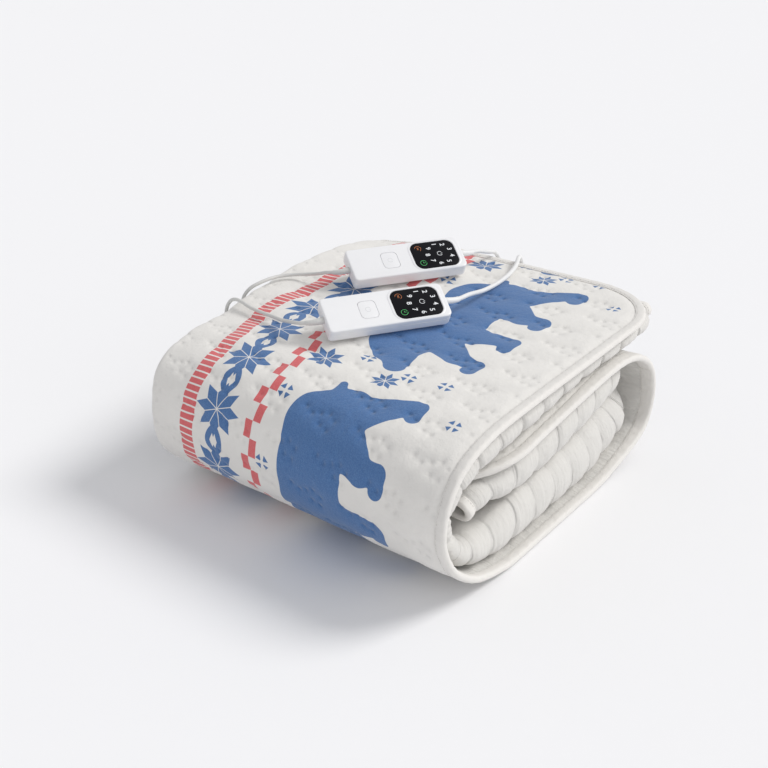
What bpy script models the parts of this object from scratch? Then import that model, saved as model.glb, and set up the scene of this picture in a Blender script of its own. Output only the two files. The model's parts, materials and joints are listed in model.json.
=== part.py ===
"""Heated mattress topper, folded in three and then into three passes, with its two handsets.

Metres, +Z up. The near bound side of the folded strip faces +X, its free end +Y and its
main fold -Y. The origin is the bottom centre of the topper with its handsets.
"""

import math

import bmesh
import bpy
import numpy as np
from mathutils import Matrix, Vector

# ---------------------------------------------------------------- driving sizes
CENTRE = (-0.0298, 0.01145)  # the middle of the resting box, in the drafting frame
NEAR_X = 0.2190                 # outer face of the near long edge
STRIP_WIDTH = 0.4815            # width of the strip after the lengthwise fold in three
CORNER_RADIUS = 0.110           # rounded corners of the topper
PAD_THICK = 0.0110              # quilted pad
LAYER_GAP = 0.0015              # between the layers of one pass
EDGE_THICK = 0.0038             # pad where it is pressed inside the binding
EDGE_FLAT = 0.0180              # how far in from the edge it stays pressed
EDGE_SWELL = 0.0160             # further, until it has its full thickness
TAPE_WIDTH = 0.0130             # binding, on each face
TAPE_THICK = 0.0088             # binding, over both faces
TAPE_WALL = 0.0012              # the binding's own cloth
TAPE_ROUND = 0.0016             # its rounded outer edges
LAP_AT = 0.735                  # where the binding's two ends meet, as a share of the near edge
LAP_GAP = 0.0006
GAP = 0.0003                    # between touching pieces
TAPE_ROOM = 0.0010              # between the pad's edge and the inside of the binding
BULGE_DEPTH = 0.0190            # half depth of the puffy near fold

TOP_FACET = 0.042               # longest facet along the top pass
FACET_LENGTH = 0.075            # and along the passes under it
TOP_PASS = 0.470                # how far the top pass reaches along the topper
TOP_Z = 0.205                   # height of its printed face
FACET_TURN = math.radians(19)   # most turn between two sections

# The route of one section after another, in the plane of the near edge.
# outer: the printed face; inner: the innermost layer; lean: how far y moves on for
# each metre away from the near edge; bulge: how far the puffy fold stays back from it.
ROUTE_COLUMNS = ("name", "outer_y", "outer_z", "inner_y", "inner_z", "lean", "bulge")
ROUTE = (
    ("head end", 0.2880, 0.2030, 0.2867, 0.1690, 0.00, 0.050),
    ("head", 0.2540, 0.2045, 0.2530, 0.1690, 0.00, 0.016),
    ("top right", 0.1900, 0.2050, 0.1895, 0.1690, 0.00, 0.008),
    ("top middle", 0.0600, 0.2050, 0.0600, 0.1665, 0.01, 0.009),
    ("top left", -0.0700, 0.2050, -0.0650, 0.1560, 0.05, 0.007),
    ("shoulder", -0.1650, 0.2020, -0.1500, 0.1460, 0.09, 0.009),
    ("fold upper", -0.2260, 0.1860, -0.1900, 0.1330, 0.105, 0.012),
    ("fold high", -0.2590, 0.1540, -0.2100, 0.1180, 0.115, 0.014),
    ("fold", -0.2690, 0.1180, -0.2160, 0.1010, 0.120, 0.014),
    ("fold low", -0.2610, 0.0850, -0.2120, 0.0880, 0.103, 0.013),
    ("fold lower", -0.2370, 0.0500, -0.2030, 0.0765, 0.083, 0.011),
    ("heel", -0.1930, 0.0200, -0.1830, 0.0690, 0.072, 0.010),
    ("bottom left", -0.1400, 0.0045, -0.1340, 0.0680, 0.066, 0.009),
    ("flat start", -0.0900, 0.0000, -0.0850, 0.0745, 0.055, 0.008),
    ("flat end", 0.0900, 0.0000, 0.0700, 0.0875, 0.030, 0.008),
    ("bottom right", 0.1600, 0.0080, 0.1230, 0.0950, 0.010, 0.012),
    ("toe", 0.2180, 0.0210, 0.1560, 0.1000, 0.00, 0.015),
    ("back fold low", 0.2460, 0.0390, 0.1760, 0.1030, -0.02, 0.024),
    ("back fold", 0.2590, 0.0750, 0.1850, 0.1090, -0.02, 0.046),
    ("back fold high", 0.2500, 0.1150, 0.1810, 0.1155, -0.02, 0.060),
    ("back fold top", 0.2210, 0.1440, 0.1680, 0.1180, 0.00, 0.034),
    ("middle right", 0.1800, 0.1610, 0.1460, 0.1125, 0.01, 0.010),
    ("middle", 0.1200, 0.1655, 0.1050, 0.1035, 0.03, 0.006),
    ("middle left", 0.0000, 0.1575, 0.0000, 0.0860, 0.06, 0.006),
    ("inner left", -0.1000, 0.1475, -0.0950, 0.0815, 0.095, 0.008),
    ("inner foot", -0.1500, 0.1385, -0.1390, 0.0880, 0.115, 0.014),
    ("foot", -0.1750, 0.1315, -0.1610, 0.0862, 0.120, 0.018),
    ("foot end", -0.1930, 0.1255, -0.1785, 0.0823, 0.122, 0.024),
)

# Soft rises and dips: centre, direction of the long way, half lengths, height at the top face.
RISE_COLUMNS = ("name", "x", "y", "turn_deg", "half_long", "half_wide", "height")
RISES = (
    ("far hump", -0.262, 0.130, 90.0, 0.085, 0.060, 0.008),
    ("far left dip", -0.262, -0.120, 80.0, 0.090, 0.090, -0.014),
    ("far head dip", -0.262, 0.300, 30.0, 0.100, 0.050, -0.018),
    ("under front handset", -0.0422, -0.0110, 55.3, 0.085, 0.034, 0.012),
    ("under back handset", -0.1148, 0.1411, 55.3, 0.085, 0.034, 0.012),
)


def rows(columns, table):
    """The table's rows as dictionaries keyed by column."""
    return [dict(zip(columns, row)) for row in table]


# ---------------------------------------------------------------- the fold
def read_rows(values, at):
    """A Catmull-Rom curve through the rows, read at fractional rows."""
    padded = np.vstack([2 * values[0] - values[1], values, 2 * values[-1] - values[-2]])
    row = np.clip(np.floor(at).astype(int), 0, len(values) - 2)
    t = (at - row)[:, None]
    a, b, c, d = (padded[row + k] for k in range(4))
    square = 2 * a - 5 * b + 4 * c - d
    cube = 3 * b - a - 3 * c + d
    return 0.5 * (2 * b + (c - a) * t + square * t**2 + cube * t**3)


ROUTE_VALUES = np.array([row[1:] for row in ROUTE], float)
FINE_ROUTE = read_rows(ROUTE_VALUES, np.linspace(0, len(ROUTE) - 1, 2400))
FINE_ROUTE[:, 1] = np.maximum(FINE_ROUTE[:, 1], 0.0)
FINE_STEPS = np.linalg.norm(np.diff(FINE_ROUTE[:, :2], axis=0), axis=1)
FINE_LENGTH = np.concatenate([[0.0], np.cumsum(FINE_STEPS)])
SHEET_LENGTH = float(FINE_LENGTH[-1])


def route_at(v):
    """The route's columns at the distance v along the printed face."""
    return [float(np.interp(v, FINE_LENGTH, column)) for column in FINE_ROUTE.T]


def stations():
    """Distances v of the sections: closer together where the route turns."""
    headings = np.unwrap(np.arctan2(*np.diff(FINE_ROUTE[:, 1::-1], axis=0).T))
    turns = np.abs(np.diff(headings, prepend=headings[0]))
    longest = np.where(FINE_LENGTH[1:] < TOP_PASS, TOP_FACET, FACET_LENGTH)
    count = np.concatenate([[0.0], np.cumsum(FINE_STEPS / longest + turns / FACET_TURN)])
    inner = np.interp(np.linspace(0, count[-1], int(count[-1]) + 1), count, FINE_LENGTH)
    near_ends = [0.0, EDGE_FLAT / 2, EDGE_FLAT, EDGE_FLAT + EDGE_SWELL]
    near_ends += [CORNER_RADIUS * share for share in (0.5, 0.75, 1.0)]
    far_ends = [SHEET_LENGTH - end for end in near_ends]
    middle = [v for v in inner if CORNER_RADIUS * 1.15 < v < SHEET_LENGTH - CORNER_RADIUS * 1.15]
    return near_ends + middle + far_ends[::-1]


def risen(x, y, z):
    """The height z after the soft rises and dips, which stretch the whole stack."""
    lift = 0.0
    for row in rows(RISE_COLUMNS, RISES):
        turn = math.radians(row["turn_deg"])
        dx, dy = x - row["x"], y - row["y"]
        along = (dx * math.cos(turn) + dy * math.sin(turn)) / row["half_long"]
        across = (dy * math.cos(turn) - dx * math.sin(turn)) / row["half_wide"]
        lift += row["height"] * math.exp(-(along**4) - across**2)
    return z * (1 + lift / TOP_Z)


def corner_inset(v):
    """How far a rounded corner takes the long edges in, at v along the topper."""
    end = min(v, SHEET_LENGTH - v)
    if end >= CORNER_RADIUS:
        return 0.0
    return CORNER_RADIUS - math.sqrt(CORNER_RADIUS**2 - (CORNER_RADIUS - end) ** 2)


def edge_distance(from_side, v):
    """Distance to the topper's outline, with its rounded corners."""
    end = min(v, SHEET_LENGTH - v)
    if from_side < CORNER_RADIUS and end < CORNER_RADIUS:
        return CORNER_RADIUS - math.hypot(CORNER_RADIUS - from_side, CORNER_RADIUS - end)
    return min(from_side, end)


def held(v):
    """The same place across the strip for the whole pressed edge of either end."""
    return min(max(v, EDGE_FLAT), SHEET_LENGTH - EDGE_FLAT)


def layer_edges(v):
    """Where the two bound edges and the folds lie across the strip at v."""
    v = held(v)
    first_end = NEAR_X - TAPE_WALL - TAPE_ROOM
    far = NEAR_X - STRIP_WIDTH + 0.004 + 0.003 * math.sin(9.0 * v + 0.6) + 0.002 * math.sin(23.0 * v)
    last_end = far + 0.009 + 0.004 * math.sin(7.0 * v)
    return first_end, far, last_end


def pass_depth(v):
    """Depth of the three layers together at v."""
    outer_y, outer_z, inner_y, inner_z, _, _ = route_at(held(v))
    return max(math.hypot(inner_y - outer_y, inner_z - outer_z), 3 * PAD_THICK + 2 * LAYER_GAP)


def middle_line(v, inset):
    """The middle of the three layers at v, as points (x, depth from the printed face).

    It starts at the near bound edge, goes out to the far fold, back to the puffy near
    fold and out again to the far bound edge.
    """
    bulge = route_at(held(v))[5]
    total = pass_depth(v)
    first_end, far, last_end = layer_edges(v)
    half = PAD_THICK / 2
    turn = half + LAYER_GAP / 2
    far_centre = far + half + turn
    second = half + 2 * turn
    bow = (total - half - second) / 2
    deep = min(BULGE_DEPTH, max(1.15 * bow, half + 0.0012))
    near_centre = NEAR_X - bulge - half - deep
    first = first_end - inset
    line = [(first - run, half) for run in (0.0, EDGE_FLAT, EDGE_FLAT + EDGE_SWELL)]
    straight = first - EDGE_FLAT - EDGE_SWELL
    for share in np.linspace(0, 1, 10)[1:-1]:
        line.append((straight + (far_centre - straight) * share, half))
    for angle in np.linspace(0, math.pi, 5):
        line.append((far_centre - turn * math.sin(angle), half + turn - turn * math.cos(angle)))
    for share in np.linspace(0, 1, 5)[1:-1]:
        line.append((far_centre + (near_centre - far_centre) * share, second))
    for angle in np.linspace(0, math.pi, 6):
        line.append((near_centre + deep * math.sin(angle), second + bow - bow * math.cos(angle)))
    last = last_end + inset
    for share in np.linspace(0, 1, 5)[1:-1]:
        straight = last + EDGE_FLAT + EDGE_SWELL
        line.append((near_centre + (straight - near_centre) * share, total - half))
    for run in (EDGE_FLAT + EDGE_SWELL, EDGE_FLAT, 0.0):
        line.append((last + run, total - half))
    return np.array(line)


def placed(v, x, depth):
    """The point of the folded topper at v, x and this depth from the printed face."""
    outer_y, outer_z, inner_y, inner_z, lean, _ = route_at(v)
    length = math.hypot(inner_y - outer_y, inner_z - outer_z)
    y = outer_y + (inner_y - outer_y) / length * depth + lean * (NEAR_X - x)
    z = outer_z + (inner_z - outer_z) / length * depth
    return Vector((x, y, risen(x, y, z)))


def thickness(edge):
    """Thickness of the pad at this distance from its outline."""
    share = min(max((edge - EDGE_FLAT) / EDGE_SWELL, 0.0), 1.0)
    return EDGE_THICK + (PAD_THICK - EDGE_THICK) * share


def pad_section(v):
    """The closed outline of all three layers at v, in space."""
    line = middle_line(v, corner_inset(v))
    ahead = np.gradient(line, axis=0)
    ahead /= np.linalg.norm(ahead, axis=1)[:, None]
    normal = np.column_stack([ahead[:, 1], -ahead[:, 0]])
    steps = np.concatenate([[0.0], np.cumsum(np.linalg.norm(np.diff(line, axis=0), axis=1))])
    inset = corner_inset(v)
    outer, inner = [], []
    for (x, depth), (nx, nd), run in zip(line, normal, steps):
        side = min(run, steps[-1] - run) + inset
        half = thickness(edge_distance(side, v)) / 2
        outer.append(placed(v, x + nx * half, depth + nd * half))
        inner.append(placed(v, x - nx * half, depth - nd * half))
    return outer + inner[::-1]


# ---------------------------------------------------------------- helpers
def material(name, colour, roughness, metallic=0.0):
    made = bpy.data.materials.new(name)
    made.use_nodes = True
    shader = made.node_tree.nodes["Principled BSDF"]
    shader.inputs["Base Color"].default_value = (*colour, 1.0)
    shader.inputs["Roughness"].default_value = roughness
    shader.inputs["Metallic"].default_value = metallic
    made.diffuse_color = (*colour, 1.0)
    return made


def finish(name, mesh, look):
    """A named object of the mesh, with its material, in the topper's collection."""
    thing = bpy.data.objects.new(name, mesh)
    mesh.materials.append(look)
    mesh.shade_smooth()
    mesh.set_sharp_from_angle(angle=math.radians(35))
    PARTS.objects.link(thing)
    return thing


def loft(sections, strip_ends=False):
    """A closed mesh through closed sections of equal point counts.

    A strip's outline goes out along one face and back along the other, so its ends are
    closed between the facing points.
    """
    shape = bmesh.new()
    rings = [[shape.verts.new(point) for point in section] for section in sections]
    count = len(rings[0])
    for one, two in zip(rings, rings[1:]):
        for k in range(count):
            shape.faces.new((one[k], one[(k + 1) % count], two[(k + 1) % count], two[k]))
    for ring in (rings[0][::-1], rings[-1]):
        if strip_ends:
            for k in range(count // 2 - 1):
                shape.faces.new((ring[k], ring[k + 1], ring[count - 2 - k], ring[count - 1 - k]))
        else:
            shape.faces.new(ring)
    bmesh.ops.triangulate(shape, faces=shape.faces[:])
    if shape.calc_volume(signed=True) < 0:
        bmesh.ops.reverse_faces(shape, faces=shape.faces[:])
    mesh = bpy.data.meshes.new("loft")
    shape.to_mesh(mesh)
    shape.free()
    return mesh


def smooth_path(points, step):
    """Points every step along a smooth curve through the route's own points."""
    values = np.array(points, float)
    fine = read_rows(values, np.linspace(0, len(values) - 1, 60 * len(values)))
    along = np.concatenate([[0.0], np.cumsum(np.linalg.norm(np.diff(fine, axis=0), axis=1))])
    at = np.linspace(0, along[-1], max(int(along[-1] / step), 2) + 1)
    return np.column_stack([np.interp(at, along, column) for column in fine.T])


def tube(name, points, radii, look, sides=2):
    """A round cord or boot: a poly curve with a bevel and filled caps."""
    curve = bpy.data.curves.new(name, "CURVE")
    curve.dimensions = "3D"
    curve.bevel_depth = 1.0
    curve.bevel_resolution = sides
    curve.use_fill_caps = True
    spline = curve.splines.new("POLY")
    spline.points.add(len(points) - 1)
    for point, place, radius in zip(spline.points, points, radii):
        point.co = (*place, 1.0)
        point.radius = radius
    thing = bpy.data.objects.new(name, curve)
    curve.materials.append(look)
    PARTS.objects.link(thing)
    return thing


# ---------------------------------------------------------------- the topper
def near_point(v, inside):
    """A point of the near bound layer's middle, inside from its long edge."""
    return placed(v, layer_edges(v)[0] - inside, PAD_THICK / 2)


def far_point(v, inside):
    """A point of the far bound layer's middle, inside from its long edge."""
    return placed(v, layer_edges(v)[2] + inside, pass_depth(v) - PAD_THICK / 2)


def side_samples(point, vs):
    """Edge points of one long side with their inner partners, round its corners too."""
    samples = []
    for v in vs:
        inset = corner_inset(v)
        end = min(v, SHEET_LENGTH - v)
        inward_side, inward_end = 1.0, 0.0
        if end < CORNER_RADIUS:
            inward_side = (CORNER_RADIUS - inset) / CORNER_RADIUS
            inward_end = (CORNER_RADIUS - end) / CORNER_RADIUS
        step = EDGE_FLAT * 0.6
        towards = 1.0 if v < SHEET_LENGTH / 2 else -1.0
        partner = point(v + towards * inward_end * step, inset + inward_side * step)
        samples.append((point(v, inset), partner))
    return samples


def end_samples(v, inner_v):
    """Edge points of one end of the topper, from its near to its far side."""
    edge = [placed(v, x, depth) for x, depth in middle_line(v, CORNER_RADIUS)]
    inner = [placed(inner_v, x, depth) for x, depth in middle_line(inner_v, CORNER_RADIUS)]
    return list(zip(edge, inner))[1:-1]


def tape_profile():
    """The binding's section: (outwards from the pad's edge, across its thickness)."""
    tip = -(TAPE_WIDTH - TAPE_WALL - TAPE_ROOM)
    face = TAPE_ROOM + TAPE_WALL
    half = TAPE_THICK / 2
    inner = half - TAPE_WALL
    return (
        (tip, half), (face - TAPE_ROUND, half), (face, half - TAPE_ROUND),
        (face, TAPE_ROUND - half), (face - TAPE_ROUND, -half), (tip, -half),
        (tip, -inner), (TAPE_ROOM, -inner), (TAPE_ROOM, inner), (tip, inner),
    )


def tape_sections(samples):
    sections = []
    for k, (edge, inner) in enumerate(samples):
        before = samples[max(k - 1, 0)][0]
        after = samples[min(k + 1, len(samples) - 1)][0]
        ahead = (after - before).normalized()
        outward = edge - inner
        outward = (outward - ahead * outward.dot(ahead)).normalized()
        normal = outward.cross(ahead)
        sections.append([edge + outward * out + normal * up for out, up in tape_profile()])
    return sections


def make_topper():
    cloth = material("quilted_cloth", (0.86, 0.85, 0.83), 0.9)
    binding = material("binding_cloth", (0.84, 0.83, 0.80), 0.85)
    vs = stations()
    finish("quilted_topper", loft([pad_section(v) for v in vs], strip_ends=True), cloth)
    lap = min(range(len(vs)), key=lambda k: abs(vs[k] - LAP_AT * SHEET_LENGTH))
    samples = side_samples(near_point, vs[: lap + 1])[::-1]
    samples += end_samples(0.0, EDGE_FLAT * 0.6)
    samples += side_samples(far_point, vs)
    samples += end_samples(SHEET_LENGTH, SHEET_LENGTH - EDGE_FLAT * 0.6)[::-1]
    samples += side_samples(near_point, vs[lap:])[::-1]
    last, before = samples[-1], samples[-2]
    share = LAP_GAP / (last[0] - before[0]).length
    samples[-1] = tuple(one.lerp(two, share) for one, two in zip(last, before))
    finish("edge_binding", loft(tape_sections(samples)), binding)


# ---------------------------------------------------------------- handsets
HANDSET = Vector((0.160, 0.054, 0.019))
HANDSET_CORNER = 0.008
HANDSET_RIM = 0.0030
DISPLAY = Vector((0.062, 0.0455, 0.0012))
DISPLAY_X = 0.0400
DISPLAY_CORNER = 0.0115
DISPLAY_RECESS = 0.0015
BUTTON = Vector((0.0225, 0.0270, 0.0020))
BUTTON_X = -0.0235
BUTTON_CORNER = 0.0060
BUTTON_POCKET = 0.0035
HANDSET_COLUMNS = ("name", "x", "y", "z", "turn_deg", "tilt_deg")
HANDSETS = (
    ("front", -0.0291, -0.0204, 0.2310, 55.3, 28.0),
    ("back", -0.1011, 0.1308, 0.2321, 55.3, 28.0),
)


def handset_frame(row):
    """The handset's own frame: x along it, y away from the near edge, z out of its face."""
    place = Matrix.Translation((row["x"], row["y"], row["z"]))
    turn = Matrix.Rotation(math.radians(row["turn_deg"]), 4, "Z")
    tilt = Matrix.Rotation(math.radians(row["tilt_deg"]), 4, "X")
    return place @ turn @ tilt


def rounded_block(size, corner, rim=0.0, steps=(5, 3)):
    """A block with rounded upright edges and, where rim is set, rounded faces too."""
    shape = bmesh.new()
    bmesh.ops.create_cube(shape, size=1.0, matrix=Matrix.Diagonal((*size, 1.0)))
    upright = [e for e in shape.edges if abs(e.verts[0].co.z - e.verts[1].co.z) > size.z / 2]
    bmesh.ops.bevel(shape, geom=upright, offset=corner, segments=steps[0], profile=0.5, affect="EDGES")
    if rim:
        level = [
            e for e in shape.edges
            if abs(e.verts[0].co.z - e.verts[1].co.z) < 1e-6 and not all(f.normal.z == 0 for f in e.link_faces)
        ]
        bmesh.ops.bevel(shape, geom=level, offset=rim, segments=steps[1], profile=0.5, affect="EDGES")
    bmesh.ops.recalc_face_normals(shape, faces=shape.faces[:])
    mesh = bpy.data.meshes.new("block")
    shape.to_mesh(mesh)
    shape.free()
    return mesh


def cut(thing, cutter_mesh, name, frame):
    """Cuts the mesh, placed by frame, out of the thing."""
    cutter = bpy.data.objects.new(name, cutter_mesh)
    cutter.matrix_world = frame
    cutter.hide_render = True
    cutter.display_type = "WIRE"
    CUTTERS.objects.link(cutter)
    boolean = thing.modifiers.new(name, "BOOLEAN")
    boolean.operation = "DIFFERENCE"
    boolean.object = cutter


def make_handset(row, looks):
    name, frame = row["name"], handset_frame(row)
    top = HANDSET.z / 2
    housing = finish(f"housing_{name}", rounded_block(HANDSET, HANDSET_CORNER, HANDSET_RIM), looks["shell"])
    housing.matrix_world = frame
    recess = DISPLAY + Vector((2 * GAP, 2 * GAP, 2 * DISPLAY_RECESS - DISPLAY.z))
    place = frame @ Matrix.Translation((DISPLAY_X, 0, top))
    cut(housing, rounded_block(recess, DISPLAY_CORNER + GAP), f"display_recess_{name}", place)
    pocket = BUTTON + Vector((2 * GAP, 2 * GAP, 2 * BUTTON_POCKET - BUTTON.z))
    place = frame @ Matrix.Translation((BUTTON_X, 0, top))
    cut(housing, rounded_block(pocket, BUTTON_CORNER + GAP), f"button_pocket_{name}", place)
    display = finish(f"display_{name}", rounded_block(DISPLAY, DISPLAY_CORNER), looks["glass"])
    display.matrix_world = frame @ Matrix.Translation((DISPLAY_X, 0, top - DISPLAY_RECESS + GAP + DISPLAY.z / 2))
    button = finish(f"button_{name}", rounded_block(BUTTON, BUTTON_CORNER), looks["shell"])
    button.matrix_world = frame @ Matrix.Translation((BUTTON_X, 0, top - BUTTON.z / 2))


# ---------------------------------------------------------------- strain reliefs
LEAD_DIAMETER = 0.0048          # thin lead from a handset to the topper
MAINS_DIAMETER = 0.0060
RELIEF_ROOT = 0.0044            # radius of a strain relief at the housing
RELIEF_SPARE = 0.0007           # and over the cord's radius at its tip
RELIEF_POINTS = 7

# A relief leaves its handset's end along it, side -1 or 1, across from the middle of the
# end face, and bends towards its cord.
RELIEF_COLUMNS = ("name", "handset", "side", "across", "length", "bend_deg", "drop", "diameter")
RELIEFS = (
    ("lead_front", "front", -1, 0.000, 0.022, -42.0, 0.0030, LEAD_DIAMETER),
    ("lead_back", "back", -1, 0.000, 0.022, -42.0, 0.0030, LEAD_DIAMETER),
    ("mains_front", "front", 1, 0.003, 0.024, 34.0, 0.0030, MAINS_DIAMETER),
    ("mains_back", "back", 1, 0.003, 0.024, 40.0, 0.0030, MAINS_DIAMETER),
)


def relief_points(row, frame):
    """The relief's middle line from its root to its tip."""
    side = row["side"]
    place = frame @ Vector((side * (HANDSET.x / 2 + GAP), row["across"], 0.0))
    ahead = frame.to_3x3() @ Vector((side, 0, 0))
    step = row["length"] / (RELIEF_POINTS - 1)
    turn = Matrix.Rotation(math.radians(row["bend_deg"]) / (RELIEF_POINTS - 2), 3, "Z")
    fall = Vector((0, 0, row["drop"] / (RELIEF_POINTS - 2)))
    points = [place, place + ahead * step]
    for _ in range(RELIEF_POINTS - 2):
        ahead = turn @ ahead
        points.append(points[-1] + ahead * step - fall)
    return points


def relief(name, points, diameter):
    tip = diameter / 2 + RELIEF_SPARE
    tube(name, points, np.linspace(RELIEF_ROOT, tip, len(points)), LOOKS["cord"])


# ---------------------------------------------------------------- cords
CORD_STEP = 2.6                 # facet length along a cord, in diameters

# Each cord's route from its handset's relief. The leads hang in a loop to their sockets,
# the mains cords go over the head end and down to the coils on the floor.
ROUTES = {
    "lead_front": (
        (-0.1289, -0.0885, 0.2175), (-0.1460, -0.0805, 0.2125), (-0.1660, -0.0705, 0.2080),
        (-0.1910, -0.0620, 0.2045), (-0.2151, -0.0568, 0.2040), (-0.2370, -0.0499, 0.2050),
        (-0.2510, -0.0470, 0.2040), (-0.2615, -0.0455, 0.1970), (-0.2680, -0.0450, 0.1840),
        (-0.2695, -0.0452, 0.1640), (-0.2700, -0.0460, 0.1380), (-0.2700, -0.0490, 0.1150),
        (-0.2700, -0.0570, 0.0980), (-0.2700, -0.0690, 0.0915), (-0.2700, -0.0810, 0.0980),
    ),
    "lead_back": (
        (-0.1920, 0.0560, 0.2200), (-0.2120, 0.0530, 0.2155), (-0.2290, 0.0450, 0.2135),
        (-0.2400, 0.0322, 0.2130), (-0.2455, 0.0180, 0.2125), (-0.2510, 0.0050, 0.2100),
        (-0.2590, -0.0050, 0.2040), (-0.2665, -0.0105, 0.1920), (-0.2695, -0.0120, 0.1750),
        (-0.2705, -0.0110, 0.1550), (-0.2710, -0.0060, 0.1330), (-0.2710, 0.0050, 0.1130),
        (-0.2710, 0.0220, 0.0990), (-0.2710, 0.0430, 0.0940), (-0.2710, 0.0640, 0.0980),
        (-0.2710, 0.0800, 0.1090),
    ),
    "mains_front": (
        (0.0185, 0.0950, 0.2260), (0.0180, 0.1180, 0.2210), (0.0150, 0.1432, 0.2150),
        (0.0112, 0.1808, 0.2108), (0.0090, 0.2062, 0.2105), (0.0050, 0.2316, 0.2110),
        (-0.0006, 0.2530, 0.2120), (-0.0080, 0.2710, 0.2130), (-0.0145, 0.2860, 0.2110),
        (-0.0190, 0.2980, 0.2040), (-0.0215, 0.3070, 0.1920), (-0.0220, 0.3110, 0.1760),
        (-0.0215, 0.3120, 0.1500), (-0.0205, 0.3120, 0.1100), (-0.0195, 0.3120, 0.0700),
        (-0.0180, 0.3115, 0.0380), (-0.0130, 0.3110, 0.0170), (-0.0010, 0.3110, 0.0055),
        (0.0160, 0.3110, 0.0032), (0.0380, 0.3110, 0.0032), (0.0585, 0.3110, 0.0032),
    ),
    "mains_back": (
        (-0.0518, 0.2440, 0.2250), (-0.0515, 0.2590, 0.2185), (-0.0530, 0.2740, 0.2140),
        (-0.0555, 0.2880, 0.2105), (-0.0580, 0.2990, 0.2030), (-0.0590, 0.3070, 0.1910),
        (-0.0595, 0.3110, 0.1750), (-0.0598, 0.3120, 0.1500), (-0.0604, 0.3120, 0.1100),
        (-0.0612, 0.3120, 0.0700), (-0.0630, 0.3115, 0.0380), (-0.0685, 0.3110, 0.0170),
        (-0.0805, 0.3110, 0.0055), (-0.0980, 0.3110, 0.0032), (-0.1300, 0.3110, 0.0032),
        (-0.1635, 0.3110, 0.0032),
    ),
}


def make_cord(name, points, diameter):
    path = smooth_path(points, CORD_STEP * diameter)
    tube(name, path, [diameter / 2] * len(path), LOOKS["cord"])


# ---------------------------------------------------------------- lead sockets
SOCKET = Vector((0.022, 0.040, 0.012))      # outwards, along the edge, across it
SOCKET_CORNER = 0.003
SOCKET_ROOM = 0.0008            # more than GAP, because the edge curves behind it
SOCKET_EXIT = 0.0045            # how far out of its middle the lead comes in
SOCKET_RELIEF = 0.014
SOCKET_AT = {"lead_front": 0.424, "lead_back": 0.192}   # along the far bound edge


def make_socket(name):
    """The socket on the bound edge with its relief; the place where the lead ends."""
    v = SOCKET_AT[name]
    edge = far_point(v, 0.0)
    outward = (edge - far_point(v, EDGE_FLAT)).normalized()
    along = far_point(v + EDGE_FLAT, 0.0) - edge
    along = (along - outward * along.dot(outward)).normalized()
    up = outward.cross(along)
    if up.z < 0:
        along, up = -along, -up
    turned = Matrix((outward, along, up)).transposed().to_4x4()
    middle = edge + outward * (TAPE_ROOM + TAPE_WALL + GAP + SOCKET_ROOM + SOCKET.x / 2)
    block = rounded_block(SOCKET, SOCKET_CORNER, SOCKET_CORNER / 2, steps=(2, 1))
    socket = finish(f"{name}_socket", block, LOOKS["shell"])
    socket.matrix_world = Matrix.Translation(middle) @ turned
    root = middle + outward * SOCKET_EXIT - up * (SOCKET.z / 2 + GAP)
    points = [root - up * SOCKET_RELIEF * share for share in (0.0, 0.5, 1.0)]
    relief(f"{name}_socket_relief", points, LEAD_DIAMETER)
    return points[-1] - up * GAP, up


# ---------------------------------------------------------------- coils and plugs
COIL_RADIUS = 0.0335            # middle of the wound turns
COIL_INNER, COIL_OUTER = 0.0238, 0.0432
COIL_LOW, COIL_HIGH = 0.0013, 0.0142
COIL_CHAMFER = 0.0022
COIL_STEPS = 36
TIE_WIDTH = 0.008
TIE_ROOM = 0.0004
TIE_WALL = 0.0007
TAIL_LENGTH = 0.0175
PLUG = Vector((0.0353, 0.0360, 0.0137))
PLUG_CORNER = 0.005
PLUG_Z = 0.0072
PLUG_RELIEF = 0.025
PIN_LENGTH, PIN_DIAMETER, PIN_SPACING = 0.019, 0.0040, 0.0186

# way: the direction in x of the cord as it reaches the coil; its tail leaves the other way.
COIL_COLUMNS = ("name", "x", "y", "way", "cord_end_x")
COILS = (
    ("front", 0.0800, 0.3520, 1, 0.0585),
    ("back", -0.1850, 0.3520, -1, -0.1635),
)


def make_coil(row):
    """The wound turns as one ring: a profile turned round the coil's own axis."""
    low, high, edge = COIL_LOW, COIL_HIGH, COIL_CHAMFER
    profile = [
        (COIL_OUTER, high - edge), (COIL_OUTER, low + edge), (COIL_OUTER - edge, low),
        (COIL_INNER + edge, low), (COIL_INNER, low + edge), (COIL_INNER, high - edge),
        (COIL_INNER + edge, high), (COIL_OUTER - edge, high),
    ]
    mesh = bpy.data.meshes.new("coil_profile")
    edges = [(k, (k + 1) % len(profile)) for k in range(len(profile))]
    mesh.from_pydata([(radius, 0.0, z) for radius, z in profile], edges, [])
    coil = bpy.data.objects.new(f"mains_coil_{row['name']}", mesh)
    mesh.materials.append(LOOKS["cord"])
    coil.location = (row["x"], row["y"], 0.0)
    PARTS.objects.link(coil)
    screw = coil.modifiers.new("turned", "SCREW")
    screw.steps = screw.render_steps = COIL_STEPS
    screw.use_merge_vertices = True
    screw.merge_threshold = 0.0001
    screw.use_smooth_shade = True


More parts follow.
